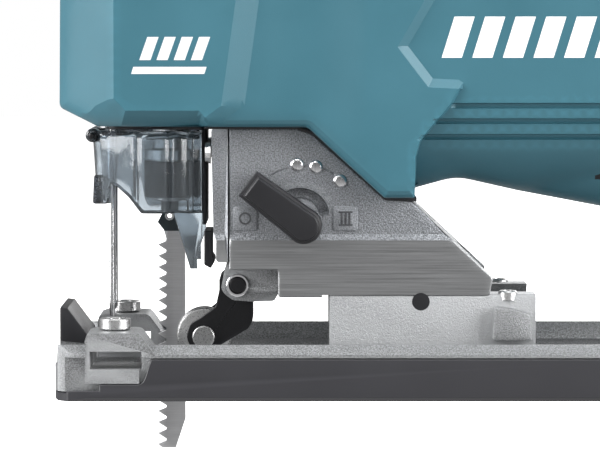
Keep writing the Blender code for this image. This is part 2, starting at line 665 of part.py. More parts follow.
def orbital_lever():
    """The mode lever on the left side, with its hub on a short shaft."""
    u, v = LEVER_AXIS
    lean = math.radians(145)
    tip = (u + 19 * math.cos(lean), v + 19 * math.sin(lean))
    side = Vector((-math.sin(lean), math.cos(lean)))
    arm = [
        (u + 5.0 * side.x, v + 5.0 * side.y), (tip[0] + 2.6 * side.x, tip[1] + 2.6 * side.y),
        (tip[0] - 2.6 * side.x, tip[1] - 2.6 * side.y), (u - 5.0 * side.x, v - 5.0 * side.y),
    ]
    lever = turned("orbital_lever", "Y", LEVER_AXIS, [
        (-23.3, 0), (-23.3, 5.0), (-29.3, 5.0), (-30.0, 4.3), (-30.0, 0)], "black_plastic", pivot=(u, 0, v))
    join(lever, lofted("lever_arm", "Y", [(-23.6, arm), (-28.4, arm), (-29.2, inset(arm, 0.7))]))
    rod("lever_shaft", "Y", -23.0, -17.8, LEVER_AXIS, 4.0, "steel", pivot=(u, 0, v))


# ---------------------------------------------------------------- chip cover, guard, light
def chip_cover():
    """Clear U-shaped guard that wraps round the blade clamp from the front."""
    outer = rounded([
        (-40.5, -20.5, 0), (-66, -20.5, 7), (-71.5, -11, 6), (-71.5, 11, 6), (-66, 20.5, 7), (-40.5, 20.5, 0)], 3)
    inner = rounded([
        (-38, -18.3, 0), (-65.2, -18.3, 6), (-69.3, -10, 5), (-69.3, 10, 5), (-65.2, 18.3, 6), (-38, 18.3, 0)], 3)
    cover = prism("chip_cover", "Z", 49.3, 72.0, outer, "smoked_plastic", pivot=(CHIP_HINGE[0], 0, CHIP_HINGE[1]))
    cut(cover, prism("chip_inside", "Z", 40, 80, inner))
    notch = prism("chip_arch", "Y", -30, 30, rounded(
        [(-66, 40, 0), (-66, 57.6, 2), (-62, 56.0, 3), (-56.5, 49.2, 3), (-56.5, 40, 0)], 2))
    cut(cover, notch)
    for side in (-1, 1):
        low, high = sorted((side * 16.9, side * 18.6))
        join(cover, prism(f"chip_fin_{side}", "Y", low, high, [
            (-49, 51.5), (-40.6, 51.5), (-40.6, 42.5), (-42, 38.5), (-42, 34), (-44, 34), (-49, 49.5)]))


def wire_guard():
    curve = bpy.data.curves.new("wire_guard", "CURVE")
    curve.dimensions = "3D"
    curve.bevel_depth = 0.00078
    curve.bevel_resolution = 2
    curve.use_fill_caps = True
    spline = curve.splines.new("POLY")
    bend = 4.0
    half = 8.0
    low = 20.3
    route = [(-half, 72.6), (-half, low + bend)]
    for k in range(1, 6):
        angle = math.pi + 0.5 * math.pi * k / 5
        route.append((-half + bend + bend * math.cos(angle), low + bend + bend * math.sin(angle)))
    route += [(-y, z) for y, z in reversed(route)]
    spline.points.add(len(route) - 1)
    for point, (y, z) in zip(spline.points, route):
        point.co = (*mm(WIRE_X, y, z), 1.0)
    guard = bpy.data.objects.new("wire_guard", curve)
    bpy.context.scene.collection.objects.link(guard)
    curve.materials.append(material("steel"))


def lamp():
    box("lamp_lens", (-67.8, -4.5, 71.2), (-65.0, 4.5, 72.7), "smoked_plastic")


# ---------------------------------------------------------------- controls
def controls():
    trigger_outline = rounded([(-8.8, 172, 1), (-8.8, 158, 3), (4, 154.5, 10), (23.8, 160, 3), (23.8, 172, 1)], 3)
    prism("trigger", "Y", -7.4, 7.4, trigger_outline, "black_plastic")
    box("switch_body", (-12, -9, 178.6), (22, 9, 195), "black_plastic")
    turned("lock_button", "Y", LOCK_BUTTON, [
        (-9.0, 0), (-9.0, 5.2), (-20.4, 5.2), (-21.2, 4.4), (-21.2, 0)], "black_plastic", sides=20)
    rod("speed_dial", "Y", -4.1, 4.1, DIAL_AXIS, 9.0, "black_plastic", sides=32,
        pivot=(DIAL_AXIS[0], 0, DIAL_AXIS[1]))
    box("controller_board", (84.5, -11, 128), (87.5, 11, 160), "board")
    box("terminal_block", (101.5, -13.5, 92), (112.8, 13.5, 138), "black_plastic")


# ---------------------------------------------------------------- battery
def cell_outline():
    """Side view of ten cells in five rows of two, as one scalloped outline."""
    radius = 9.2
    columns = (BATTERY_FRONT + 21.5, BATTERY_FRONT + 39.9)
    rows = [BATTERY_BOTTOM + 19.5 + 18.4 * k for k in range(5)]
    points = []

    def arc(x, z, start, end):
        for k in range(5):
            angle = math.radians(start + (end - start) * k / 4)
            points.append((x + radius * math.cos(angle), z + radius * math.sin(angle)))

    for z in rows:
        arc(columns[1], z, -70, 70)
    for x in reversed(columns):
        arc(x, rows[-1], 80, 100)
    for z in reversed(rows):
        arc(columns[0], z, 110, 250)
    return points


def battery():
    low, high = BATTERY_BOTTOM, BATTERY_TOP
    split = 136.0
    half = BATTERY_HALF_WIDTH
    front = rounded([
        (BATTERY_FRONT, low, 4), (split - GAP / 2, low, 0), (split - GAP / 2, high, 0), (BATTERY_FRONT, high, 4)])
    rear = rounded([
        (split + GAP / 2, low, 0), (BATTERY_REAR, low, 8), (BATTERY_REAR, high, 8), (split + GAP / 2, high, 0)])
    cavity = [(BATTERY_FRONT + 9.5, low + 3), (BATTERY_REAR - 3, low + 3), (BATTERY_REAR - 3, high - 3),
              (BATTERY_FRONT + 9.5, high - 3)]
    hollow = prism("battery_cavity", "Y", -half + 3, half - 3, cavity)
    edge = 2.5
    inner_case, outer_case = (
        lofted(name, "Y", [
            (-half, inset(side, edge)), (-half + edge, side), (half - edge, side), (half, inset(side, edge))],
            "black_plastic")
        for name, side in (("battery_inner_case", front), ("battery_outer_case", rear)))
    widest = rail_outline(0.4)[1:5]
    slot = prism("battery_rail_slot", "Z", 30, 142, widest + [(x, -y) for x, y in reversed(widest)])
    cut(inner_case, hollow, slot)
    cut(outer_case, hollow)
    prism("cell_pack", "Y", -32.5, 32.5, cell_outline(), "cells")
    cut(inner_case, box("latch_well", (BATTERY_FRONT + 10, -13, high - 9), (BATTERY_FRONT + 20.4, 13, high + 3)))
    box("battery_latch", (BATTERY_FRONT + 10.6, -12.4, high - 7), (BATTERY_FRONT + 19.8, 12.4, high - 0.5),
        "body_plastic")


def build():
    clear_scene()
    housing_half("housing_left", -1)
    housing_half("housing_right", 1)
    housing_screws()
    grip_pads()
    gear_housing()
    gear_housing_cover()
    front_hook()
    base()
    shoe()
    fence_screws()
    bevel_bolt()
    blade()
    plunger()
    blade_clamp()
    guide()
    crank()
    motor()
    retainer()
    orbital_lever()
    chip_cover()
    wire_guard()
    lamp()
    controls()
    battery()


build()
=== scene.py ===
"""Looks of the cordless jigsaw: detailed shells, castings, clear guard, materials, light and camera."""

import math

import bmesh
import bpy
import numpy as np
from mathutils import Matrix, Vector
from mathutils.geometry import delaunay_2d_cdt


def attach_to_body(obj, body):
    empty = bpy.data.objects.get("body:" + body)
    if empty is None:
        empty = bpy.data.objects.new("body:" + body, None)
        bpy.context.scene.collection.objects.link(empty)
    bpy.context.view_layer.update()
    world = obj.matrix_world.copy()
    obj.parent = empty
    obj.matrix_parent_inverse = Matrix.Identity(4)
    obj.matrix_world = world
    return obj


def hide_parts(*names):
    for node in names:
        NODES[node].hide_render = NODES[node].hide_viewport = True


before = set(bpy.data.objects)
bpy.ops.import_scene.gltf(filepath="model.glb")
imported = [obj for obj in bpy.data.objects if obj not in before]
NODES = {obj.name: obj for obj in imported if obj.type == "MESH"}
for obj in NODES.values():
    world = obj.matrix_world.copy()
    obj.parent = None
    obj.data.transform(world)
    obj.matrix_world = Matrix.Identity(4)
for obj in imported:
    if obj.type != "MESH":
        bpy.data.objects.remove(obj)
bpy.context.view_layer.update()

# Lengths in this script are millimetres, and become metres in M.
M = 0.001
SPLIT_GAP = 0.15
BODY_HALF = 32.0
GRIP_HALF = 17.5
SHELL_THICKNESS = 1.6

# Camera: a long lens, level with the gear housing and a little above it.
AIM = Vector((-14.0, 0.0, 45.0)) * M
CAMERA_DISTANCE = 937.0 * M
CAMERA_RISE = math.radians(3.6)
CAMERA_LENS = 202.4
FLOOR_LEVEL = -17.2 * M


# ---------------------------------------------------------------- node materials
class Nodes:
    """A short way to build a material's node tree."""

    def __init__(self, name):
        self.material = bpy.data.materials.new(name)
        self.material.use_nodes = True
        self.tree = self.material.node_tree
        self.shader = self.tree.nodes["Principled BSDF"]
        coordinates = self.tree.nodes.new("ShaderNodeTexCoord")
        self.place = coordinates.outputs["Object"]

    def link(self, source, target):
        self.tree.links.new(source, target)

    def noise(self, scale, detail=3.0, rough=0.55, stretch=None):
        node = self.tree.nodes.new("ShaderNodeTexNoise")
        node.inputs["Scale"].default_value = scale
        node.inputs["Detail"].default_value = detail
        node.inputs["Roughness"].default_value = rough
        if stretch:
            mapping = self.tree.nodes.new("ShaderNodeMapping")
            mapping.inputs["Scale"].default_value = stretch
            self.link(self.place, mapping.inputs["Vector"])
            self.link(mapping.outputs["Vector"], node.inputs["Vector"])
        else:
            self.link(self.place, node.inputs["Vector"])
        return node.outputs["Fac"]

    def spread(self, source, low, high, out_low, out_high):
        node = self.tree.nodes.new("ShaderNodeMapRange")
        for key, value in (("From Min", low), ("From Max", high), ("To Min", out_low), ("To Max", out_high)):
            node.inputs[key].default_value = value
        self.link(source, node.inputs["Value"])
        return node.outputs["Result"]

    def blend(self, factor, one, two):
        node = self.tree.nodes.new("ShaderNodeMix")
        node.data_type = "RGBA"
        for socket, value in ((node.inputs[6], one), (node.inputs[7], two)):
            if isinstance(value, tuple):
                socket.default_value = (*value[:3], 1.0)
            else:
                self.link(value, socket)
        self.link(factor, node.inputs[0])
        return node.outputs[2]

    def add(self, one, two, weight=1.0):
        node = self.tree.nodes.new("ShaderNodeMath")
        node.operation = "MULTIPLY_ADD"
        self.link(two, node.inputs[0])
        node.inputs[1].default_value = weight
        self.link(one, node.inputs[2])
        return node.outputs[0]

    def bump(self, height, distance, strength=1.0):
        node = self.tree.nodes.new("ShaderNodeBump")
        node.inputs["Distance"].default_value = distance
        node.inputs["Strength"].default_value = strength
        self.link(height, node.inputs["Height"])
        self.link(node.outputs["Normal"], self.shader.inputs["Normal"])

    def edges(self):
        """1 on convex edges, 0 on flat faces; colour lightened by it is partly wear, partly painted
        highlight.
        """
        node = self.tree.nodes.new("ShaderNodeNewGeometry")
        return self.spread(node.outputs["Pointiness"], 0.52, 0.60, 0.0, 1.0)


def shade(colour, factor):
    return tuple(min(1.0, channel * factor) for channel in colour)


def moulded(name, colour, roughness, grain=1.0, sheen=0.0):
    """Moulded plastic: spark-eroded grain, faint colour drift, edges lightened as wear and as painted
    highlight.
    """
    n = Nodes(name)
    drift = n.noise(38.0, 4.0)
    fine = n.noise(5200.0, 2.0)
    colour_drift = n.blend(n.spread(drift, 0.3, 0.7, 0.0, 1.0), shade(colour, 0.93), shade(colour, 1.06))
    # Convex edges lightened: partly rubbing wear, partly painted highlight.
    n.link(n.blend(n.edges(), colour_drift, shade(colour, 1.35)), n.shader.inputs["Base Color"])
    n.link(n.spread(drift, 0.3, 0.7, roughness - 0.05, roughness + 0.05), n.shader.inputs["Roughness"])
    n.bump(fine, 0.00004 * grain, 0.5)
    if sheen:
        n.shader.inputs["Sheen Weight"].default_value = sheen
    return n.material


def sand_cast(name, colour, roughness=0.48, metallic=0.85, coarse=1.0):
    """Die casting left rough by sand blasting: speckled and pitted."""
    n = Nodes(name)
    grit = n.noise(2600.0, 3.0, 0.6)
    pits = n.noise(1500.0, 3.0, 0.6)
    patches = n.noise(45.0, 2.0)
    speckle = n.blend(n.spread(grit, 0.38, 0.62, 0.0, 1.0), shade(colour, 0.6), shade(colour, 1.5))
    patched = n.blend(n.spread(patches, 0.35, 0.65, 0.0, 0.18), speckle, shade(colour, 1.2))
    # Convex edges lightened strongly: partly wear, partly painted highlight.
    n.link(n.blend(n.edges(), patched, shade(colour, 1.7)), n.shader.inputs["Base Color"])
    n.link(n.spread(pits, 0.3, 0.7, roughness - 0.1, roughness + 0.14), n.shader.inputs["Roughness"])
    n.shader.inputs["Metallic"].default_value = metallic
    n.bump(n.add(grit, pits, 0.8), 0.00034 * coarse, 0.6)
    return n.material


def machined(name, colour, roughness=0.34, direction=(2.0, 2.0, 60.0), metallic=0.95):
    """Machined or brushed metal: fine lines along one direction."""
    n = Nodes(name)
    lines = n.noise(90.0, 5.0, 0.7, stretch=direction)
    grit = n.noise(2600.0, 3.0, 0.6)
    toned = n.blend(n.spread(lines, 0.3, 0.7, 0.0, 1.0), shade(colour, 0.82), shade(colour, 1.15))
    # Convex edges lightened: partly wear, partly painted highlight.
    n.link(n.blend(n.edges(), toned, shade(colour, 1.4)), n.shader.inputs["Base Color"])
    n.link(n.spread(lines, 0.3, 0.7, roughness - 0.07, roughness + 0.09), n.shader.inputs["Roughness"])
    n.shader.inputs["Metallic"].default_value = metallic
    n.bump(n.add(lines, grit, 0.5), 0.00005, 0.5)
    return n.material


def clear_plastic(name, tint, roughness=0.06):
    """Smoked clear polycarbonate with slight moulding ripple."""
    n = Nodes(name)
    ripple = n.noise(70.0, 2.0)
    scuffs = n.noise(900.0, 4.0)
    n.link(n.blend(n.spread(ripple, 0.3, 0.7, 0.0, 1.0), shade(tint, 0.92), shade(tint, 1.05)),
           n.shader.inputs["Base Color"])
    n.link(n.spread(scuffs, 0.4, 0.7, roughness, roughness + 0.1), n.shader.inputs["Roughness"])
    n.shader.inputs["Transmission Weight"].default_value = 0.92
    n.shader.inputs["IOR"].default_value = 1.5
    n.bump(ripple, 0.0006, 0.35)
    return n.material


TEAL = (0.040, 0.140, 0.182)
ALUMINIUM = (0.25, 0.26, 0.275)
teal = moulded("teal_plastic", TEAL, 0.42, grain=1.2)
black = moulded("black_plastic", (0.009, 0.009, 0.011), 0.42, grain=1.3)
shoe_black = moulded("shoe_plastic", (0.030, 0.030, 0.034), 0.36, grain=1.6)
soft = moulded("grip_rubber", (0.020, 0.020, 0.021), 0.72, grain=2.0, sheen=0.3)
cast = sand_cast("sand_cast_aluminium", ALUMINIUM)
cast_light = sand_cast("base_casting", (0.22, 0.225, 0.23), 0.42, 0.5, 0.8)
milled = machined("machined_aluminium", (0.32, 0.325, 0.33), 0.42, direction=(0.4, 0.4, 30.0))
steel = machined("turned_steel", (0.50, 0.50, 0.50), 0.30, direction=(30.0, 2.0, 30.0))
bright = machined("bright_wire", (0.62, 0.62, 0.63), 0.2, direction=(30.0, 30.0, 1.0))
dark_steel = machined("black_coated_steel", (0.022, 0.022, 0.024), 0.38, direction=(20.0, 20.0, 20.0),
    metallic=0.6)
blade_steel = machined("ground_blade", (0.52, 0.52, 0.53), 0.38, direction=(1.0, 1.0, 60.0))
brass = machined("bush_bronze", (0.45, 0.28, 0.12), 0.4)
copper = machined("wound_copper", (0.5, 0.2, 0.09), 0.45, direction=(90.0, 1.0, 1.0))
board = moulded("circuit_board", (0.015, 0.09, 0.035), 0.4)
wrap = moulded("cell_wrap", (0.05, 0.12, 0.3), 0.35)
smoke = clear_plastic("smoked_polycarbonate", (0.34, 0.385, 0.42))
smoke_dark = clear_plastic("smoked_polycarbonate_thick", (0.16, 0.17, 0.19), 0.2)
blade_paint = moulded("blade_paint", (0.012, 0.022, 0.026), 0.35, grain=0.6)
lens = clear_plastic("lamp_lens_plastic", (0.9, 0.93, 0.95), 0.2)
silver_print = moulded("silver_print", (0.56, 0.58, 0.60), 0.4)
dark_cast = sand_cast("shadowed_casting", (0.06, 0.062, 0.066), 0.5, 0.6)
white_print = moulded("white_print", (0.85, 0.86, 0.87), 0.45)


# ---------------------------------------------------------------- outlines and mesh helpers
def inset(outline, amount):
    """The closed outline moved inwards by amount, outwards when negative."""
    area = sum(a[0] * b[1] - b[0] * a[1] for a, b in zip(outline, outline[1:] + outline[:1]))
    turn = 1.0 if area > 0 else -1.0
    moved = []
    for index, here in enumerate(outline):
        before = (Vector(here) - Vector(outline[index - 1])).normalized()
        after = (Vector(outline[(index + 1) % len(outline)]) - Vector(here)).normalized()
        normal = Vector((-(before.y + after.y), before.x + after.x))
        if normal.length < 1e-6:
            normal = Vector((-after.y, after.x))
        normal.normalize()
        spread = max(0.5, normal.dot(Vector((-after.y, after.x))))
        moved.append(Vector(here) + normal * (turn * amount / spread))
    return moved


def rounded(corners, steps=6, inward=0.0):
    """An outline from (u, v, radius) corners, moved inward, with an arc of the radius at each."""
    if inward:
        moved = inset([(u, v) for u, v, radius in corners], inward)
        corners = [(point.x, point.y, corner[2]) for point, corner in zip(moved, corners)]
    points = []
    count = len(corners)
    for index, (u, v, radius) in enumerate(corners):
        here = Vector((u, v))
        if radius <= 0:
            points.append(here)
            continue
        before = Vector(corners[index - 1][:2]) - here
        after = Vector(corners[(index + 1) % count][:2]) - here
        half = before.angle(after) / 2
        reach = min(radius / math.tan(half), 0.49 * before.length, 0.49 * after.length)
        start = here + before.normalized() * reach
        end = here + after.normalized() * reach
        for step in range(steps + 1):
            t = step / steps
            points.append(start.lerp(here, t).lerp(here.lerp(end, t), t))
    return points


def circle(u, v, radius, sides=32, start=0.0, sweep=2 * math.pi):
    return [Vector((u + radius * math.cos(start + sweep * k / sides),
        v + radius * math.sin(start + sweep * k / sides)))
            for k in range(sides)]


def segments(line, closed=True):
    pairs = list(zip(line, line[1:] + line[:1])) if closed else list(zip(line, line[1:]))
    return np.array([[a[0], a[1], b[0], b[1]] for a, b in pairs], float)


def distance(points, parts):
    """Distance from each point to the nearest of the segments."""
    start = parts[None, :, :2]
    along = parts[None, :, 2:] - start
    offset = points[:, None, :] - start
    t = np.clip((offset * along).sum(2) / np.maximum((along ** 2).sum(2), 1e-12), 0, 1)
    return np.sqrt(((offset - along * t[:, :, None]) ** 2).sum(2)).min(1)


def inside(points, outline):
    """Whether each point lies in the closed outline."""
    result = np.zeros(len(points), bool)
    x, z = points[:, 0], points[:, 1]
    for (x1, z1), (x2, z2) in zip(outline, outline[1:] + outline[:1]):
        crosses = (z1 > z) != (z2 > z)
        if z1 != z2:
            result ^= crosses & (x < (x2 - x1) * (z - z1) / (z2 - z1) + x1)
    return result


def link(name, mesh, materials, smooth=30.0):
    for one in materials if isinstance(materials, (list, tuple)) else (materials,):
        mesh.materials.append(one)
    if smooth:
        mesh.shade_smooth()
        mesh.set_sharp_from_angle(angle=math.radians(smooth))
    obj = bpy.data.objects.new(name, mesh)
    bpy.context.scene.collection.objects.link(obj)
    return obj


def from_bmesh(name, bm, materials, smooth=30.0):
    """A bmesh in millimetres becomes an object in metres."""
    bmesh.ops.scale(bm, verts=bm.verts, vec=(M, M, M))
    bmesh.ops.recalc_face_normals(bm, faces=bm.faces)
    mesh = bpy.data.meshes.new(name)
    bm.to_mesh(mesh)
    bm.free()
    return link(name, mesh, materials, smooth)


def skin(name, outline, holes, lines, height, side, materials, spacing, floor, paint=None, smooth=16.0):
    """A side of a casting: the outline filled with a fine mesh whose height follows a formula.

    lines are creases that mesh edges keep to; the rim is drawn back to y = floor."""
    points = [Vector(p) for p in outline]
    edges = [(k, (k + 1) % len(outline)) for k in range(len(outline))]
    for closed, group in ((True, holes), (False, lines)):
        for line in group:
            first = len(points)
            points += [Vector(p) for p in line]
            edges += [(first + k, first + k + 1) for k in range(len(line) - 1)]
            if closed:
                edges.append((len(points) - 1, first))
    borders = np.concatenate([segments(list(outline))] + [segments(list(hole)) for hole in holes])
    everything = np.concatenate([borders] + [segments(list(line), False) for line in lines])
    low = np.array([min(p[k] for p in outline) for k in (0, 1)])
    high = np.array([max(p[k] for p in outline) for k in (0, 1)])
    across, up = np.meshgrid(np.arange(low[0], high[0], spacing), np.arange(low[1], high[1], spacing))
    up[:, 1::2] += spacing / 2
    grid = np.stack([across.ravel(), up.ravel()], 1)
    keep = inside(grid, list(outline))
    for hole in holes:
        keep &= ~inside(grid, list(hole))
    grid = grid[keep]
    grid = grid[distance(grid, everything) > 0.45 * spacing]
    points += [Vector(p) for p in grid]
    verts, _, faces, _, _, _ = delaunay_2d_cdt(points, edges, [], 0, 1e-4)
    flat = np.array([(v.x, v.y) for v in verts])
    triangles = np.array(faces)
    centres = flat[triangles].mean(1)
    keep = inside(centres, list(outline))
    for hole in holes:
        keep &= ~inside(centres, list(hole))
    triangles = triangles[keep]
    tall = height(flat)
    bm = bmesh.new()
    made = [bm.verts.new((x, side * y, z)) for (x, z), y in zip(flat, tall)]
    for a, b, c in triangles:
        bm.faces.new((made[a], made[b], made[c]))
    loose = [v for v in bm.verts if not v.link_faces]
    bmesh.ops.delete(bm, geom=loose, context="VERTS")
    if paint:
        for face in bm.faces:
            centre = face.calc_center_median()
            face.material_index = paint(centre.x, centre.z)
    rim = [e for e in bm.edges if len(e.link_faces) == 1]
    grown = bmesh.ops.extrude_edge_only(bm, edges=rim)
    for element in grown["geom"]:
        if isinstance(element, bmesh.types.BMVert):
            element.co.y = side * floor
    return from_bmesh(name, bm, materials, smooth)


def thicken(obj, thickness):
    """Gives an open shell its wall thickness, inwards."""
    step = obj.modifiers.new("wall", "SOLIDIFY")
    step.thickness = thickness * M
    step.offset = -1.0
    step.use_rim = True
    return obj


def boolean(obj, other, operation="DIFFERENCE"):
    """Applies a Boolean and removes the cutter."""
    step = obj.modifiers.new("boolean", "BOOLEAN")
    step.operation = operation
    step.object = other
    step.solver = "EXACT"
    bpy.context.view_layer.update()
    evaluated = obj.evaluated_get(bpy.context.evaluated_depsgraph_get())
    mesh = bpy.data.meshes.new_from_object(evaluated)
    obj.modifiers.clear()
    obj.data = mesh
    bpy.data.objects.remove(other, do_unlink=True)
    return obj


def place(axis, along, point):
    if axis == "X":
        return (along, point[0], point[1])
    if axis == "Y":
        return (point[0], along, point[1])
    return (point[0], point[1], along)


def lofted(name, axis, sections, materials, smooth=30.0):
    """Joins outlines with equal numbers of points; each section is (along, outline)."""
    bm = bmesh.new()
    rings = [[bm.verts.new(place(axis, along, p)) for p in outline] for along, outline in sections]
    count = len(rings[0])
    for one, two in zip(rings, rings[1:]):
        for k in range(count):
            n = (k + 1) % count
            bm.faces.new((one[k], one[n], two[n], two[k]))
    bm.faces.new(rings[0])
    bm.faces.new(rings[-1])
    return from_bmesh(name, bm, materials, smooth)


def slab(name, axis, low, high, outline, materials, edge=0.4, smooth=30.0):
    """A plate with softly broken edges on both faces."""
    step = edge if high > low else -edge
    return lofted(name, axis, [
        (low, inset(outline, edge)), (low + 0.3 * step, inset(outline, 0.3 * edge)), (low + step, outline),
        (high - step, outline), (high - 0.3 * step, inset(outline, 0.3 * edge)),
        (high, inset(outline, edge)),
    ], materials, smooth)


def turned(name, axis, centre, profile, materials, sides=48, smooth=30.0):
    """A turned solid: profile is (along, radius) pairs; a radius of 0 closes an end."""
    bm = bmesh.new()
    rings = []
    for along, radius in profile:
        if radius <= 0:
            rings.append([bm.verts.new(place(axis, along, centre))])
        else:
            rings.append([bm.verts.new(place(axis, along, p)) for p in circle(*centre, radius, sides)])
    last = len(rings) if profile[0][1] > 0 else len(rings) - 1
    for index in range(last):
        one, two = rings[index], rings[(index + 1) % len(rings)]
        for k in range(sides):
            n = (k + 1) % sides
            corners = list(dict.fromkeys([one[k % len(one)], one[n % len(one)], two[n % len(two)],
                two[k % len(two)]]))
            if len(corners) > 2:
                bm.faces.new(corners)
    return from_bmesh(name, bm, materials, smooth)


def give(node, material):
    """A CAD node keeps its shape and takes this material."""
    obj = NODES[node]
    obj.data.materials.clear()
    obj.data.materials.append(material)


def refined(node, body, material, width=0.35, steps=2):
    """A copy of a CAD solid with its edges broken, standing for the node."""
    mesh = NODES[node].data.copy()
    mesh.materials.clear()
    bm = bmesh.new()
    bm.from_mesh(mesh)
    bmesh.ops.remove_doubles(bm, verts=bm.verts, dist=1e-6)
    bmesh.ops.dissolve_limit(bm, angle_limit=math.radians(1.5), verts=bm.verts, edges=bm.edges)
    for edge in bm.edges:
        edge.smooth = True
    bm.to_mesh(mesh)
    bm.free()
    mesh.name = node + "_detailed"
    obj = link(node + "_detailed", mesh, material, 35.0)
    step = obj.modifiers.new("edges", "BEVEL")
    step.width = width * M
    step.segments = steps
    step.limit_method = "ANGLE"
    step.angle_limit = math.radians(35)
    step.use_clamp_overlap = True
    step.harden_normals = False
    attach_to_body(obj, body)
    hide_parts(node)
    return obj


# ---------------------------------------------------------------- the teal shells
BODY_OUTLINE = [
    (-80, 78, 2), (-69, 73, 2), (-12, 73, 3), (8.8, 54, 1.6), (16.9, 54, 1.2), (17.6, 55.8, 1),
    (28.7, 59.2, 14),
    (46, 55, 12), (72, 50, 10), (106, 50, 4), (106, 168, 10), (98, 194, 18), (58, 207, 30), (-18, 203, 25),
    (-52, 187, 22), (-70, 150, 16), (-80, 116, 12),
]
BLOCK_OUTLINE = [
    (-80, 78, 2), (-69, 73, 2), (-12, 73, 3), (8.8, 54, 1.6), (16.9, 54, 1.2), (17.6, 55.8, 1),
    (28.7, 59.2, 14),
    (46, 55, 12), (72, 50, 10), (106, 50, 4), (106, 122, 4), (84, 122, 6), (20, 120, 6), (-14, 121, 8),
    (-40, 126, 10), (-64, 128, 12), (-80, 112, 10),
]
FINGER_OUTLINE = [
    (-20, 121, 9), (74, 124, 12), (80, 148, 12), (68, 166, 12), (-14, 163, 12), (-30, 146, 14),
]
PANEL_FRONT = -63.9
PANEL_BOTTOM = 77.7
PANEL_CORNER = ((-63.9, 80.9), (-60.8, 77.7))
BAND_REAR = -41.0
STRIPE_HALF = 3.1
CHEVRON = [(25.0, 117.0), (12.1, 94.7), (20.4, 83.9), (28.5, 83.5)]
CREASE = [(28.5, 83.5), (45.4, 82.7), (101.0, 80.4)]
CHEVRON_BEVEL = 2.4
LOGO_DEPTH = 1.3
LOBE_STEP = 0.6
GROOVES = ((78.9, 26.6), (74.7, 21.6), (70.4, 18.4))
GROOVE_HALF = 0.55
LOBE_EDGE = [(16.9, 50.0), (16.9, 65.0), (18.0, 69.4), (21.1, 73.4), (23.6, 76.2), (26.4, 79.6),
    (28.5, 83.5)]
LOGO_PANEL = CHEVRON + CREASE[1:] + [(120.0, 80.4), (120.0, 117.0)]
MOTOR_SIDE = LOBE_EDGE + CREASE[1:] + [(120.0, 80.4), (120.0, 45.0), (16.9, 45.0)]


def stripe_x(z):
    """Middle of the slanted step behind the front panel."""
    return np.where(z > 79.0, -32.0 + 0.139 * (z - 79.0), -32.0 + 1.38 * (z - 79.0))


def fall(d, radius):
    """How far a rounded edge of this radius falls back at distance d from the rim."""
    t = np.clip(1 - d / radius, 0, 1)
    return radius * (1 - np.sqrt(np.maximum(0, 1 - t * t)))


def block_height(points):
    """Half width of the lower block at each point of the side view."""
    x, z = points[:, 0], points[:, 1]
    y = np.full(len(points), BODY_HALF)
    stripe = stripe_x(z)
    step = np.clip((x - stripe + STRIPE_HALF) / (2 * STRIPE_HALF), 0, 1)
    start = stripe + STRIPE_HALF
    waist = np.clip((x - start) / np.maximum(4.0 - start, 1.0), 0, 1)
    dip = 2.5 - 1.3 * waist + 1.9 * np.sin(math.pi * waist) ** 1.2
    y = np.where(x > start, BODY_HALF - dip, BODY_HALF - 2.5 * step)
    y = np.minimum(y, BODY_HALF + 1.242 * (x - PANEL_FRONT))
    released = 1.3 * np.maximum(0.0, x - BAND_REAR)
    y = np.minimum(y, BODY_HALF + 1.06 * (z - PANEL_BOTTOM) + released)
    corner = (x - PANEL_CORNER[0][0]) * 0.718 + (z - PANEL_CORNER[0][1]) * 0.696
    y = np.minimum(y, BODY_HALF + 1.15 * corner)
    logo_edge = distance(points, segments(CHEVRON, False))
    y = np.where(inside(points, LOGO_PANEL), y - LOGO_DEPTH * np.clip(logo_edge / CHEVRON_BEVEL, 0, 1), y)
    lobe_edge = distance(points, segments(LOBE_EDGE, False))
    tube = np.sqrt(np.maximum(33.5 ** 2 - (z - 86.0) ** 2, 0.0)) - 3.4
    motor = np.minimum(y - LOGO_DEPTH, np.maximum(tube, 6.0))
    motor = y - (y - motor) * np.clip(lobe_edge / LOBE_STEP, 0, 1)
    y = np.where(inside(points, MOTOR_SIDE), motor, y)
    for level, begin in GROOVES:
        across = np.abs(z - level)
        depth = 1.1 * np.clip((GROOVE_HALF + 0.25 - across) / 0.25, 0, 1) * np.clip((x - begin) / 0.6, 0, 1)
        y = y - np.where(x < 101.0, depth, 0.0)
    return y



def body_height(points):
    """Half width of the whole shell: the block, and the narrower loop that carries the grip."""
    x, z = points[:, 0], points[:, 1]
    block = list(rounded(BLOCK_OUTLINE))
    loop = list(rounded(BODY_OUTLINE))
    finger = list(rounded(FINGER_OUTLINE))
    block_rim = distance(points, segments(block))
    in_block = inside(points, block) | (block_rim < 0.02)
    loop_rim = distance(points, np.concatenate([segments(loop), segments(finger)]))
    narrow = GRIP_HALF - fall(loop_rim, 13.0)
    top = np.clip((z - 100.0) / 15.0, 0, 1)
    edge = 3.2 + 2.8 * top
    under = fall(block_rim, edge)
    wide = block_height(points) - under
    return np.where(in_block, np.maximum(wide, narrow), narrow)


def offset_line(line, amount):
    """An open line moved to its left by amount."""
    moved = []
    for k, here in enumerate(line):
        before = Vector(here) - Vector(line[max(k - 1, 0)])
        after = Vector(line[min(k + 1, len(line) - 1)]) - Vector(here)
        before = before.normalized() if before.length > 0 else after.normalized()
        after = after.normalized() if after.length > 0 else before
        normal = Vector((-(before.y + after.y), before.x + after.x)).normalized()
        spread = max(0.5, normal.dot(Vector((-after.y, after.x))))
        moved.append(Vector(here) + normal * (amount / spread))
    return moved


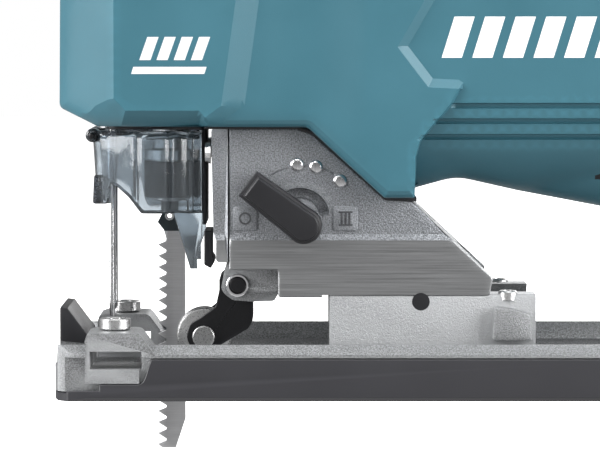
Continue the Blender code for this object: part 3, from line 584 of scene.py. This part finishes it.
def body_lines():
    lines = []
    for inward in (0.35, 1.0, 2.0, 3.2):
        lines.append(list(rounded(BLOCK_OUTLINE, 6, inward)) + [rounded(BLOCK_OUTLINE, 6, inward)[0]])
    lines.append(list(rounded(BLOCK_OUTLINE, 6, -0.5)) + [rounded(BLOCK_OUTLINE, 6, -0.5)[0]])
    for inward in (0.5, 1.5, 3.0, 5.5, 9.0):
        lines.append([p for p in rounded(BODY_OUTLINE, 6, inward) if p.y > 118])
        ring = list(rounded(FINGER_OUTLINE, 6, -inward))
        lines.append(ring + [ring[0]])
    heights = np.linspace(79.0, 118.0, 8)
    for shift in (-STRIPE_HALF, STRIPE_HALF):
        lines.append([(-40.3 + shift, 73.0)] + [(float(stripe_x(np.array(z))) + shift,
            float(z)) for z in heights])
    lines.append([(PANEL_FRONT, 124.0), PANEL_CORNER[0], PANEL_CORNER[1], (BAND_REAR, PANEL_BOTTOM),
        (-37.0, 73.2)])
    lines.append([PANEL_CORNER[0], (-66.2, 74.0)])
    lines.append([PANEL_CORNER[1], (-62.2, 73.4)])
    lines.append(CHEVRON)
    lines.append(CREASE)
    lines.append(offset_line(CHEVRON, CHEVRON_BEVEL))
    lines.append(LOBE_EDGE)
    lines.append(offset_line(LOBE_EDGE, -LOBE_STEP))
    for level, begin in GROOVES:
        for shift in (-GROOVE_HALF - 0.25, -GROOVE_HALF, GROOVE_HALF, GROOVE_HALF + 0.25):
            lines.append([(begin, level + shift), (101.0, level + shift)])
    return lines


def divided(line, step=1.2):
    """The line's points, with more between them wherever they are far apart."""
    points = []
    for a, b in zip(line, line[1:]):
        count = max(1, math.ceil(math.hypot(b[0] - a[0], b[1] - a[1]) / step))
        points += [(a[0] + (b[0] - a[0]) * k / count,
            a[1] + (b[1] - a[1]) * k / count) for k in range(count)]
    points.append((line[-1][0], line[-1][1]))
    return np.array(points)


def trimmed_to(lines, outline, holes, margin=0.1):
    """Keeps only the stretches of the lines that lie inside the outline and outside the holes."""
    border = np.concatenate([segments(outline)] + [segments(hole) for hole in holes])
    kept = []
    for line in lines:
        points = divided(line)
        good = inside(points, outline) & (distance(points, border) > margin)
        for hole in holes:
            good &= ~inside(points, hole)
        run = []
        for point, fine in zip(points, good):
            if fine:
                run.append((float(point[0]), float(point[1])))
            else:
                if len(run) > 1:
                    kept.append(run)
                run = []
        if len(run) > 1:
            kept.append(run)
    return kept


def shells():
    lines = trimmed_to(body_lines(), list(rounded(BODY_OUTLINE)), [list(rounded(FINGER_OUTLINE))], 0.2)
    for name, node, side in (("shell_left", "housing_left", -1), ("shell_right", "housing_right", 1)):
        shell = skin(name, rounded(BODY_OUTLINE), [rounded(FINGER_OUTLINE)], lines, body_height, side,
            teal, 1.8,
                     SPLIT_GAP)
        thicken(shell, SHELL_THICKNESS)
        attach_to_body(shell, "housing")
        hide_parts(node)


# ---------------------------------------------------------------- the gear housing
HOUSING_OUTLINE = [
    (-33.3, 72.6, 0), (-15, 72.6, 2), (-10.7, 71.2, 3), (9.1, 53.4, 2), (16.1, 53.0, 2), (38.5, 32.0, 1),
    (38.1, 30.4, 0.5), (37.4, 26.7, 0), (-20, 26.7, 1), (-20, 34.2, 1), (-33.3, 34.2, 0),
]
STRIP_OUTLINE = [
    (-38.0, 72.6, 1), (-33.6, 72.6, 0), (-33.6, 36.3, 0), (-36.7, 36.3, 1), (-37.5, 44.5, 0), (-38, 69, 0),
]
FACE_HALF = 23.0
ROUGH_DEPTH = 0.7
MILLED_TOP = 42.3
ROUGH_BOTTOM = 43.9
LEVER_HUB = (-13.0, 46.5)
ARC_CENTRE = (-14.0, 48.4)
ARC_RADII = (5.2, 8.1)
ARC_ANGLES = (math.radians(14), math.radians(150))
DOTS = ((-14.8, 62.8), (-9.7, 62.2), (-3.1, 58.4))
DOT_RADIUS = 1.9
DIAL_LINE_RADIUS = 16.0
ARCH_AXIS_Z = 14.0
ARCH_RADIUS = 26.6


def casting_face(points):
    """Half width of the cast housing: a rough face set back above a milled one."""
    z = points[:, 1]
    return FACE_HALF - ROUGH_DEPTH * np.clip((z - MILLED_TOP) / (ROUGH_BOTTOM - MILLED_TOP), 0, 1)


def housing_face(points, left):
    y = casting_face(points)
    rim = distance(points, segments(list(rounded(HOUSING_OUTLINE, 4))))
    y = y - fall(rim, 0.7)
    if not left:
        return y
    apart = points - np.array(ARC_CENTRE)
    radius = np.hypot(apart[:, 0], apart[:, 1])
    angle = np.arctan2(apart[:, 1], apart[:, 0])
    in_arc = (radius > ARC_RADII[0] - 0.01) & (radius < ARC_RADII[1] + 0.01)
    in_arc &= (angle > ARC_ANGLES[0] - 0.001) & (angle < ARC_ANGLES[1] + 0.001)
    walls = np.minimum(radius - ARC_RADII[0], ARC_RADII[1] - radius)
    y = np.where(in_arc, y - 2.0 * np.clip(walls / 0.3, 0, 1), y)
    around = np.abs(np.hypot(points[:, 0] - LEVER_HUB[0], points[:, 1] - LEVER_HUB[1]) - DIAL_LINE_RADIUS)
    near_dot = np.min([np.hypot(points[:, 0] - x, points[:, 1] - z) for x, z in DOTS], axis=0)
    bearing = np.arctan2(points[:, 1] - LEVER_HUB[1], points[:, 0] - LEVER_HUB[0])
    lined = (around < 0.12) & (near_dot > DOT_RADIUS) & (bearing > 0.72) & (bearing < 2.2)
    return np.where(lined, y - 0.25, y)


def arc(centre, radius, start, end, steps=24):
    return [(centre[0] + radius * math.cos(start + (end - start) * k / steps),
             centre[1] + radius * math.sin(start + (end - start) * k / steps)) for k in range(steps + 1)]


def housing_lines(left):
    lines = [[(-33.2, z), (27.5, z)] for z in (MILLED_TOP, ROUGH_BOTTOM)]
    for inward in (0.15, 0.35, 0.7):
        border = list(rounded(HOUSING_OUTLINE, 4, inward))
        lines.append(border + [border[0]])
    if left:
        inner = arc(ARC_CENTRE, ARC_RADII[0], *ARC_ANGLES)
        outer = arc(ARC_CENTRE, ARC_RADII[1], *ARC_ANGLES)
        lines.append(inner + outer[::-1] + [inner[0]])
        lines.append(arc(ARC_CENTRE, ARC_RADII[0] + 0.3, *ARC_ANGLES))
        lines.append(arc(ARC_CENTRE, ARC_RADII[1] - 0.3, *ARC_ANGLES))
        for shift in (-0.25, -0.1, 0.1, 0.25):
            lines.append(arc(LEVER_HUB, DIAL_LINE_RADIUS + shift, 0.75, 2.17, 30))
    return lines


def closed_back(obj):
    """Fills the open side of a skin, so that it becomes a solid."""
    bm = bmesh.new()
    bm.from_mesh(obj.data)
    rim = [e for e in bm.edges if len(e.link_faces) == 1]
    bmesh.ops.holes_fill(bm, edges=rim, sides=0)
    bmesh.ops.recalc_face_normals(bm, faces=bm.faces)
    bm.to_mesh(obj.data)
    bm.free()
    return obj


def milled_below(x, z):
    return 1 if z < MILLED_TOP + 0.1 else 0


def arch_cutter():
    return lofted("arch_cutter", "X", [(along, circle(0, ARCH_AXIS_Z, ARCH_RADIUS, 96)) for along in (-8,
        70)], cast)


def gear_housing():
    for name, side in (("housing_face_left", -1), ("housing_face_right", 1)):
        left = side < 0
        face = skin(name, rounded(HOUSING_OUTLINE, 4), [], trimmed(housing_lines(left), HOUSING_OUTLINE),
                    lambda points: housing_face(points, left), side, [cast, milled], 1.5, 13.4, milled_below)
        boolean(closed_back(face), arch_cutter())
        finish_housing(face)
        strip = skin(name.replace("face", "strip"), rounded(STRIP_OUTLINE, 3), [],
                     trimmed([[(-40, z), (-30, z)] for z in (MILLED_TOP, ROUGH_BOTTOM)], STRIP_OUTLINE),
                     casting_face, side, [cast, milled], 1.5, 0.0, milled_below)
        finish_housing(strip, "gear_housing_cover")
    core = bpy.data.objects.new("housing_core", welded(NODES["gear_housing"].data))
    bpy.context.scene.collection.objects.link(core)
    keep = lofted("core_keep", "Y", [
        (along, [Vector(p) for p in ((-90, 0), (90, 0), (90, 90), (-90, 90))]) for along in (-14, 14)], cast)
    boolean(core, keep, "INTERSECT")
    core.data.materials.clear()
    core.data.materials.append(cast_light)
    core.data.shade_smooth()
    core.data.set_sharp_from_angle(angle=math.radians(30))
    soften(core, 0.5)
    finish_housing(core)


def welded(source):
    """A copy of a CAD mesh as one closed skin with large flat faces."""
    mesh = source.copy()
    bm = bmesh.new()
    bm.from_mesh(mesh)
    bmesh.ops.remove_doubles(bm, verts=bm.verts, dist=1e-6)
    bmesh.ops.recalc_face_normals(bm, faces=bm.faces)
    bm.to_mesh(mesh)
    bm.free()
    return mesh


def gap_shade_and_plates():
    """A dark strip between the casting and the plastic body, painted shade of the gap between them."""
    top = [(-40.0, 72.4), (-15.0, 72.4), (-10.6, 71.0), (9.1, 53.2), (17.6, 52.8)]
    line = [Vector(p) for p in top]
    raised = offset_line(top, 1.0)
    # This black strip is painted shade of the gap under the plastic body.
    attach(slab("body_gap_shade_strip", "Y", -22.6, 22.6, line + raised[::-1], black, 0.2), "housing")
    shield = [Vector(p) for p in ((-40.9, 46.0), (-39.7, 46.0), (-39.7, 72.6), (-40.9, 72.6))]
    attach(slab("front_shield", "Y", -14.0, 14.0, shield, black, 0.2), "housing")
    plate = rounded([(-67.0, -15.5, 4), (-40.2, -18.5, 2), (-40.2, 18.5, 2), (-67.0, 15.5, 4)], 4)
    under = slab("nose_underplate", "Z", 72.1, 73.2, plate, black, 0.25)
    mouth = lofted("mouth_cutter", "Z", [(along, rounded(mouth_corners(), 4)) for along in (60.0, 80.0)],
        black)
    boolean(under, mouth)
    attach(under, "housing")


def mouth_corners():
    return [(-60.0, -9.5, 4), (-42.0, -9.5, 4), (-42.0, 9.5, 4), (-60.0, 9.5, 4)]


def finish_housing(obj, node="gear_housing"):
    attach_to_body(obj, "housing")
    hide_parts(node)


def soften(obj, width, steps=2):
    step = obj.modifiers.new("edges", "BEVEL")
    step.width = width * M
    step.segments = steps
    step.limit_method = "ANGLE"
    step.angle_limit = math.radians(35)
    step.use_clamp_overlap = True


def trimmed(lines, outline):
    return trimmed_to(lines, list(rounded(outline, 4)), [])


def tile(name, centre, half, strokes):
    """A raised tile on the casting, with raised marks on it."""
    low, high = -(FACE_HALF - ROUGH_DEPTH) + 0.3, -(FACE_HALF - ROUGH_DEPTH) - 0.42
    corners = [(centre[0] + sx * half, centre[1] + sz * half, 0.9)
               for sx, sz in ((-1, -1), (1, -1), (1, 1), (-1, 1))]
    attach(slab(name, "Y", low, high, rounded(corners, 4), cast, 0.22), "housing")
    for index, stroke in enumerate(strokes):
        attach(slab(f"{name}_mark_{index}", "Y", high + 0.2, high - 0.16, stroke, dark_cast, 0.08),
            "housing")


def attach(obj, body, node=None):
    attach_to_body(obj, body)
    if node:
        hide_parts(node)
    return obj


def bar_stroke(x, low, high, half=0.3):
    return [Vector(p) for p in ((x - half, low), (x + half, low), (x + half, high), (x - half, high))]


def flat_stroke(low, high, z, half=0.22):
    return [Vector(p) for p in ((low, z - half), (high, z - half), (high, z + half), (low, z + half))]


def mode_marks():
    """The two end positions of the orbital lever: a ring and three strokes."""
    x, z = -28.9, 48.2
    zero = turned("mode_zero", "Y", (x, z), [
        (-22.5, 1.15), (-22.85, 1.25), (-22.85, 1.65), (-22.5, 1.75)], dark_cast)
    attach(zero, "housing")
    tile("mode_zero_tile", (x, z), 3.25, [])
    for index, dot in enumerate(DOTS):
        dome = turned(f"dial_dot_{index}", "Y", dot, [
            (-21.9, 0), (-21.9, 1.9), (-22.35, 1.9), (-22.7, 1.62), (-22.95, 1.15), (-23.08, 0.6),
            (-23.12, 0)], bright)
        attach(dome, "housing")
    x = -1.65
    strokes = [bar_stroke(x + shift, z - 1.7, z + 1.7) for shift in (-1.05, 0.0, 1.05)]
    strokes += [flat_stroke(x - 1.9, x + 1.9, z + shift) for shift in (-1.75, 1.75)]
    tile("mode_three_tile", (x, z), 3.35, strokes)


def lever():
    """The orbital mode lever: a round hub with a wide tapered paddle."""
    u, v = LEVER_HUB
    lean = math.radians(143)
    along = Vector((math.cos(lean), math.sin(lean)))
    side = Vector((-along.y, along.x))
    hub = Vector((u, v))

    def paddle(grow, reach):
        tip = hub + along * (18.9 + reach)
        start = math.atan2(-side.y, -side.x)
        points = [hub + side * (4.7 + grow) + along * 2.0, tip + side * (4.1 + grow),
            tip - side * (4.1 + grow),
                  hub - side * (4.7 + grow) + along * 2.0]
        for k in range(1, 16):
            angle = start - math.pi * k / 16
            points.append(hub + Vector((math.cos(angle), math.sin(angle))) * (4.95 + grow))
        return points

    body = lofted("lever_body", "Y", [
        (-23.3, paddle(-0.5, -0.5)), (-23.7, paddle(0.0, 0.0)), (-27.4, paddle(0.0, 0.0)),
        (-28.0, paddle(-0.25, -0.2)),
        (-28.2, paddle(-0.75, -0.9)), (-29.5, paddle(-0.95, -1.2)), (-29.9, paddle(-1.3, -1.6)),
        (-30.0, paddle(-1.8, -2.2)),
    ], black, 24.0)
    attach(body, "lever", "orbital_lever")


# ---------------------------------------------------------------- the clear chip cover
COVER_TOP = 71.6
COVER_REAR = -40.8
COVER_PLAN = [
    (-71.3, 0.0), (-71.3, 5.0), (-70.9, 8.6), (-69.6, 11.2), (-67.0, 13.2), (-64.0, 15.0), (-61.2, 16.4),
    (-59.4, 17.2), (-58.6, 18.6), (-57.2, 19.8), (-55.2, 20.35), (-53.2, 20.45), (-51.2, 20.2),
    (-49.6, 19.3),
    (-48.7, 18.2), (-47.4, 17.7), (-45.8, 18.3), (-44.6, 19.3), (-43.0, 19.0), (-41.8, 18.0),
    (COVER_REAR, 17.8),
]


def cover_bottom(x):
    """Lower edge of the cover along its side."""
    stations = ((-75.0, 51.6), (-67.4, 51.6), (-66.9, 57.8), (-64.0, 56.4), (-60.9, 53.7), (-58.4, 50.7),
        (-57.2, 49.3),
                (-35.0, 49.3))
    for (x1, z1), (x2, z2) in zip(stations, stations[1:]):
        if x <= x2:
            return z1 + (z2 - z1) * (x - x1) / (x2 - x1)
    return stations[-1][1]


def smooth_path(points, repeats=2):
    """Rounds a path by cutting its corners, with both ends kept."""
    for _ in range(repeats):
        finer = [points[0]]
        for a, b in zip(points, points[1:]):
            finer.append((0.75 * a[0] + 0.25 * b[0], 0.75 * a[1] + 0.25 * b[1]))
            finer.append((0.25 * a[0] + 0.75 * b[0], 0.25 * a[1] + 0.75 * b[1]))
        finer.append(points[-1])
        points = finer
    return points


def chip_cover():
    half = smooth_path(COVER_PLAN)
    plan = [(x, -y) for x, y in reversed(half)] + half[1:]
    levels = (0.0, 0.04, 0.12, 0.3, 0.5, 0.7, 0.88, 1.0)
    bm = bmesh.new()
    rows = []
    for level in levels:
        row = []
        for x, y in plan:
            low = cover_bottom(x)
            z = low + (COVER_TOP - low) * level
            taper = 1.0 - 0.045 * (1.0 - level) ** 2
            drawn_back = 1.2 * (1.0 - level) * max(0.0, min(1.0, (-66.0 - x) / 4.0))
            row.append(bm.verts.new((x + drawn_back, y * taper, z)))
        rows.append(row)
    for low_row, high_row in zip(rows, rows[1:]):
        for k in range(len(plan) - 1):
            bm.faces.new((low_row[k], low_row[k + 1], high_row[k + 1], high_row[k]))
    wrap = from_bmesh("cover_wrap", bm, smoke, 40.0)
    thicken(wrap, 1.5)
    attach(wrap, "cover", "chip_cover")
    for side in (-1, 1):
        inner, outer = side * 16.9, side * 18.5
        fin = [Vector(p) for p in ((-48.6, 49.9), (-40.6, 49.9), (-40.6, 42.5), (-42.0, 38.5), (-42.0, 34.2),
                                   (-43.9, 34.2))]
        attach(slab(f"cover_fin_{side}", "Y", inner, outer, fin, smoke, 0.35), "cover")
        block = rounded([(-71.0, 51.4, 0.8), (-66.8, 51.4, 0.8), (-66.8, 58.2, 0.5), (-70.6, 59.4, 0.5)], 4)
        attach(slab(f"cover_foot_{side}", "Y", side * 3.0, side * 9.6, block, smoke_dark, 0.5), "cover")
        barrel = turned(f"cover_barrel_{side}", "Y", (-70.9, 70.3), [
            (side * 3.2, 0), (side * 3.2, 1.3), (side * 3.8, 1.9), (side * 10.6, 1.9), (side * 11.2, 1.3),
            (side * 11.2, 0)], smoke)
        attach(barrel, "cover")
        pin = turned(f"cover_pin_{side}", "Y", (-70.9, 70.3), [
            (side * 1.2, 0), (side * 1.2, 0.9), (side * 14.6, 0.9), (side * 15.0, 0.5),
            (side * 15.0, 0)], dark_steel)
        attach(pin, "cover")
        # These ribs' dark smoked tint is painted shade of the gap under the body.
        rib = rounded([(-68.0, 70.4, 0.3), (-42.0, 70.4, 0.3), (-42.0, 71.6, 0.3), (-68.0, 71.6, 0.3)], 2)
        attach(slab(f"cover_rib_gap_shade_{side}", "Y", side * 12.5, side * 16.0, rib, smoke_dark, 0.25), "cover")


# ---------------------------------------------------------------- blade, roller, wire
def blade():
    """The toothed blade: bare ground steel below, black paint on the shank."""
    mesh = NODES["blade"].data.copy()
    mesh.materials.clear()
    bm = bmesh.new()
    bm.from_mesh(mesh)
    bmesh.ops.remove_doubles(bm, verts=bm.verts, dist=1e-6)
    paint_line = 43.4 * M
    bmesh.ops.bisect_plane(bm, geom=bm.verts[:] + bm.edges[:] + bm.faces[:], plane_co=(0, 0, paint_line),
                           plane_no=(0, 0, 1), dist=1e-6)
    for vertex in bm.verts:
        front = vertex.co.x < -52.9 * M and vertex.co.z < 42.5 * M
        if front:
            vertex.co.y *= 1.35
    for face in bm.faces:
        face.material_index = 1 if face.calc_center_median().z > paint_line else 0
    bm.to_mesh(mesh)
    bm.free()
    made = link("blade_ground", mesh, [blade_steel, blade_paint], 20.0)
    soften(made, 0.12, 1)
    attach(made, "plunger", "blade")
    eye = turned("blade_eye", "Y", (-50.2, 47.6), [
        (-0.72, 0.75), (-0.86, 0.85), (-0.86, 1.2), (-0.72, 1.3), (0.72, 1.3), (0.86, 1.2), (0.86, 0.85),
        (0.72, 0.75)], steel, 24)
    attach(eye, "plunger")


def roller():
    """The grooved roller that backs the blade."""
    shoulder, groove = 7.6, 4.95
    made = turned("roller_turned", "Y", (-40.6, 14.6), [
        (-4.1, 2.05), (-4.1, 6.9), (-3.9, 7.3), (-3.4, shoulder), (-1.8, shoulder), (-1.45, 7.3),
        (-1.15, groove + 0.3),
        (-0.9, groove), (0.9, groove), (1.15, groove + 0.3), (1.45, 7.3), (1.8, shoulder), (3.4, shoulder),
        (3.9, 7.3), (4.1, 6.9), (4.1, 2.05)], steel, 64)
    attach(made, "roller", "roller")


def wire_guard():
    """A bent bright wire that keeps fingers off the blade."""
    half, low, bend, thick = 8.0, 20.3, 4.0, 0.78
    route = [(-half, 72.4), (-half, 60.0), (-half, 40.0), (-half, low + bend)]
    for k in range(1, 13):
        angle = math.pi + 0.5 * math.pi * k / 12
        route.append((-half + bend + bend * math.cos(angle), low + bend + bend * math.sin(angle)))
    route += [(-y, z) for y, z in reversed(route)]
    bm = bmesh.new()
    rings = []
    for k, (y, z) in enumerate(route):
        before = Vector(route[max(k - 1, 0)])
        after = Vector(route[min(k + 1, len(route) - 1)])
        along = (after - before).normalized()
        out = Vector((along.y, -along.x))
        rings.append([bm.verts.new((
            -65.8 + thick * math.cos(a), y + thick * math.sin(a) * out.x, z + thick * math.sin(a) * out.y))
            for a in (2 * math.pi * j / 20 for j in range(20))])
    for one, two in zip(rings, rings[1:]):
        for j in range(20):
            n = (j + 1) % 20
            bm.faces.new((one[j], one[n], two[n], two[j]))
    bm.faces.new(rings[0])
    bm.faces.new(rings[-1])
    attach(from_bmesh("wire_guard_bent", bm, bright), "housing", "wire_guard")


# ---------------------------------------------------------------- base details
def base_details():
    """The rubber-faced lip at the front and the small fittings at the rear of the saddle."""
    lip = [Vector(p) for p in ((-79.6, 14.2), (-78.9, 14.0), (-71.2, 13.4), (-71.9, 15.6), (-77.6, 23.2),
        (-79.6, 23.4))]
    attach(slab("lip_insert", "Y", -15.2, 15.2, lip, black, 0.5), "base")
    for side in (-1, 1):
        screw_head("saddle_screw", side, "Z", (42.5, side * 21.0), 27.0, 2.6)
        lug = rounded([(38.2, 15.2, 1), (49.0, 15.2, 1), (48.2, 22.5, 2), (44.0, 23.8, 2),
            (38.6, 24.6, 1)], 4)
        attach(slab(f"saddle_lug_{side}", "Y", side * 23.0, side * 26.5, lug, cast_light, 0.5), "base")


def retainer_details():
    """A bright washer round the retainer's pivot pin on each side."""
    for side in (-1, 1):
        washer = turned(f"pivot_washer_{side}", "Y", (-31.1, 29.3), [
            (side * 13.3, 2.45), (side * 13.3, 3.1), (side * 13.9, 3.1), (side * 14.1, 2.9),
            (side * 14.1, 2.45)],
            bright, 40)
        attach(washer, "housing")
        # A thin black disc, painted shade of the hole in the saddle.
        hole_shade_disc = turned(f"saddle_hole_shade_{side}", "Y", (18.8, 25.6), [
            (side * 22.0, 0), (side * 22.0, 2.4), (side * 23.03, 2.4), (side * 23.06, 2.2),
            (side * 23.06, 0)], black, 32)
        attach(hole_shade_disc, "base")


def dial():
    """The speed wheel, with ridges for the thumb."""
    u, v = 67.0, 196.5
    outline = []
    teeth = 40
    for k in range(teeth):
        for shift, radius in ((-0.28, 8.55), (-0.14, 9.0), (0.14, 9.0), (0.28, 8.55)):
            angle = 2 * math.pi * (k + shift) / teeth
            outline.append(Vector((u + radius * math.cos(angle), v + radius * math.sin(angle))))
    attach(slab("dial_ridged", "Y", -4.1, 4.1, outline, black, 0.35), "dial", "speed_dial")


def battery_details():
    """Soft corners, side ribs and a charge window on the battery."""
    for side in (-1, 1):
        for index, (low, high) in enumerate(((54.5, 74.0), (143.0, 162.5))):
            pad = rounded([(152.0, low, 3), (167.5, low, 4), (167.5, high, 4), (152.0, high, 3)], 5)
            attach(slab(f"battery_pad_{index}_{side}", "Y", side * 36.8, side * 38.1, pad, soft, 0.5),
                "battery")
        for index in range(6):
            z = 92.0 + 6.2 * index
            rib = rounded([(113.5, z, 0.8), (131.0, z, 0.8), (131.0, z + 2.0, 0.8),
                (113.5, z + 2.0, 0.8)], 3)
            attach(slab(f"battery_rib_{index}_{side}", "Y", side * 37.0, side * 38.1, rib, black, 0.35),
                "battery")
        panel = rounded([(141.0, 80.0, 3), (149.0, 80.0, 3), (149.0, 137.0, 3), (141.0, 137.0, 3)], 4)
        attach(slab(f"battery_panel_{side}", "Y", side * 37.0, side * 37.9, panel, soft, 0.4), "battery")
    window = rounded([(-13.0, 128.0, 2), (13.0, 128.0, 2), (13.0, 138.0, 2), (-13.0, 138.0, 2)], 4)
    attach(slab("charge_window", "X", 169.5, 170.3, window, soft, 0.25), "battery")
    for index in range(4):
        light = circle(-8.4 + 5.6 * index, 133.0, 1.3, 24)
        attach(slab(f"charge_light_{index}", "X", 170.1, 170.5, light, silver_print, 0.15), "battery")


def vent_slot_shade():
    """Black bars low on the rear of each side, painted shade standing for slanted cooling slots."""
    for side, tag in ((-1, "left"), (1, "right")):
        for k in range(6):
            bar = [(p.x, p.y) for p in slanted(66.0 + 5.4 * k, 58.5, 2.2, 7.5, 2.0)]
            # Each black bar is painted shade of a cooling slot opening.
            decal(f"vent_{tag}_{k}", [Vector(p) for p in bar], side, 0.03, black)


def screw_head(name, side, axis, spot, level, radius):
    """A socket head: a turned cap with a dished middle."""
    cap = turned(f"{name}_{'left' if side < 0 else 'right'}", axis, spot, [
        (level - 1.0, 0), (level - 1.0, radius), (level + 1.1, radius), (level + 1.5, radius - 0.4),
        (level + 1.5, radius * 0.55), (level + 0.5, radius * 0.5), (level + 0.4, 0)], steel, 32)
    attach(cap, "base")


# ---------------------------------------------------------------- marks on the body
def decal(name, outline, side, lift, material, thickness=0.12):
    """A printed mark: the outline laid on the side of the body, a touch above it."""
    bm = bmesh.new()
    flat = np.array([(p[0], p[1]) for p in outline])
    tall = body_height(flat)
    front = [bm.verts.new((x, side * (y + lift), z)) for (x, z), y in zip(flat, tall)]
    back = [bm.verts.new((x, side * (y - thickness), z)) for (x, z), y in zip(flat, tall)]
    count = len(front)
    bm.faces.new(front)
    bm.faces.new(back)
    for k in range(count):
        n = (k + 1) % count
        bm.faces.new((front[k], front[n], back[n], back[k]))
    return attach(from_bmesh(name, bm, material), "housing")


def slanted(x, z, width, height, lean):
    return [Vector(p) for p in ((x, z), (x + width, z), (x + width + lean, z + height),
        (x + lean, z + height))]


def marks():
    """Plain printed bars where a maker would put a name."""
    for side, tag in ((-1, "left"), (1, "right")):
        for k in range(4):
            bar = slanted(-57.0 + 4.6 * k, 91.2, 3.0, 6.2, 2.2)
            decal(f"badge_{tag}_{k}", bar, side, 0.05, silver_print)
        decal(f"badge_{tag}_line", slanted(-59.2, 87.5, 19.6, 1.9, 0.6), side, 0.05, silver_print)
        for k in range(7):
            bar = slanted(24.0 + 8.2 * k, 91.8, 5.4, 11.0, 3.4)
            decal(f"name_bars_{tag}_{k}", bar, side, 0.05, white_print)


# ---------------------------------------------------------------- stage, light, camera
def stage():
    material = bpy.data.materials.new("backdrop")
    material.use_nodes = True
    shader = material.node_tree.nodes["Principled BSDF"]
    shader.inputs["Base Color"].default_value = (0.9, 0.9, 0.9, 1.0)
    shader.inputs["Roughness"].default_value = 0.9
    shader.inputs["Emission Color"].default_value = (1.0, 1.0, 1.0, 1.0)
    shader.inputs["Emission Strength"].default_value = 0.9
    bm = bmesh.new()
    bm.faces.new([bm.verts.new((p.x, p.y, FLOOR_LEVEL)) for p in circle(0.0, 0.0, 3.0, 64)])
    mesh = bpy.data.meshes.new("backdrop")
    bm.to_mesh(mesh)
    bm.free()
    floor = link("backdrop", mesh, material)
    floor.visible_diffuse = False
    floor.visible_glossy = False


def area_light(name, place_at, target, size, power, size_y=None):
    data = bpy.data.lights.new(name, "AREA")
    data.shape = "RECTANGLE"
    data.size = size
    data.size_y = size_y or size
    data.energy = power
    lamp = bpy.data.objects.new(name, data)
    lamp.location = place_at
    lamp.rotation_euler = (Vector(target) - Vector(place_at)).to_track_quat("-Z", "Y").to_euler()
    bpy.context.scene.collection.objects.link(lamp)


def lights():
    world = bpy.data.worlds.new("studio")
    world.use_nodes = True
    background = world.node_tree.nodes["Background"]
    background.inputs["Color"].default_value = (1.0, 1.0, 1.0, 1.0)
    tree = world.node_tree
    direction = tree.nodes.new("ShaderNodeTexCoord")
    split = tree.nodes.new("ShaderNodeSeparateXYZ")
    ramp = tree.nodes.new("ShaderNodeMapRange")
    for key, value in (("From Min", -1.0), ("From Max", 0.15), ("To Min", 0.85), ("To Max", 0.25)):
        ramp.inputs[key].default_value = value
    tree.links.new(direction.outputs["Generated"], split.inputs["Vector"])
    tree.links.new(split.outputs["Z"], ramp.inputs["Value"])
    seen = tree.nodes.new("ShaderNodeLightPath")
    choice = tree.nodes.new("ShaderNodeMix")
    choice.inputs[3].default_value = 1.0
    tree.links.new(seen.outputs["Is Camera Ray"], choice.inputs[0])
    tree.links.new(ramp.outputs["Result"], choice.inputs[2])
    tree.links.new(choice.outputs[0], background.inputs["Strength"])
    bpy.context.scene.world = world
    centre = (-0.01, 0.0, 0.06)
    area_light("left_softbox", (-0.95, -0.30, 0.40), centre, 0.8, 20.0, 0.9)
    area_light("top_softbox", (0.05, -0.45, 1.0), centre, 0.9, 6.5, 0.6)
    area_light("right_softbox", (0.95, -0.40, 0.40), centre, 0.8, 22.0, 0.9)
    area_light("back_softbox", (0.5, 1.1, 0.6), centre, 0.9, 7.0, 0.7)


def camera():
    data = bpy.data.cameras.new("camera")
    data.lens = CAMERA_LENS
    data.sensor_width = 36.0
    data.clip_start = 0.05
    data.clip_end = 20.0
    eye = bpy.data.objects.new("camera", data)
    back = Vector((0.0, -math.cos(CAMERA_RISE), math.sin(CAMERA_RISE)))
    eye.location = AIM + back * CAMERA_DISTANCE
    eye.rotation_euler = (math.pi / 2 - CAMERA_RISE, 0.0, 0.0)
    bpy.context.scene.collection.objects.link(eye)
    bpy.context.scene.camera = eye
    bpy.context.scene.view_settings.view_transform = "Standard"


# ---------------------------------------------------------------- carried-over pieces
def carried():
    """CAD solids whose shape is right, with broken edges or a better material."""
    for node, body, material, width in (
        ("base", "base", cast_light, 0.35), ("cover_plate", "base", shoe_black, 0.5),
        ("front_hook", "housing", black, 0.3),
        ("roller_retainer", "retainer", dark_steel, 0.4), ("roller_pin", "retainer", steel, 0.25),
        ("retainer_pin", "housing", dark_steel, 0.3), ("fence_screw_left", "base", steel, 0.3),
        ("fence_screw_right", "base", steel, 0.3), ("trigger", "trigger", black, 0.8),
        ("battery_inner_case", "battery", black, 0.7), ("battery_outer_case", "battery", black, 0.7),
        ("battery_latch", "latch", teal, 0.6), ("terminal_block", "housing", black, 0.4),
        ("bevel_bolt", "housing", steel, 0.3), ("blade_clamp", "plunger", steel, 0.3),
        ("clamp_collar", "collar", black, 0.4),
        ("lock_button", "lock", black, 0.5), ("grip_pad_left", "housing", soft, 0.4),
        ("grip_pad_right", "housing", soft, 0.4),
    ):
        refined(node, body, material, width)
    simple = {
        steel: ["clamp_spring", "plunger_rod", "crank_gear", "gear_shaft", "motor_shaft", "rotor_core",
                "gear_bearing_front", "gear_bearing_rear", "motor_bearing_front", "motor_bearing_rear",
                "lever_shaft",
                "guide_pivot_pin", "cover_screw_left", "cover_screw_right", "shoe_screw_1", "shoe_screw_2",
                "housing_screw_1", "housing_screw_2", "housing_screw_3", "housing_screw_4",
                "housing_screw_5"],
        brass: ["lower_bush", "upper_bush"],
        copper: ["stator"],
        board: ["sensor_board", "controller_board"],
        wrap: ["cell_pack"],
        black: ["switch_body", "cooling_fan"],
        milled: ["plunger_guide"],
        lens: ["lamp_lens"],
    }
    for material, nodes in simple.items():
        for node in nodes:
            give(node, material)


camera()
stage()
lights()
shells()
gear_housing()
mode_marks()
lever()
chip_cover()
blade()
roller()
wire_guard()
marks()
gap_shade_and_plates()
base_details()
retainer_details()
dial()
battery_details()
vent_slot_shade()
carried()
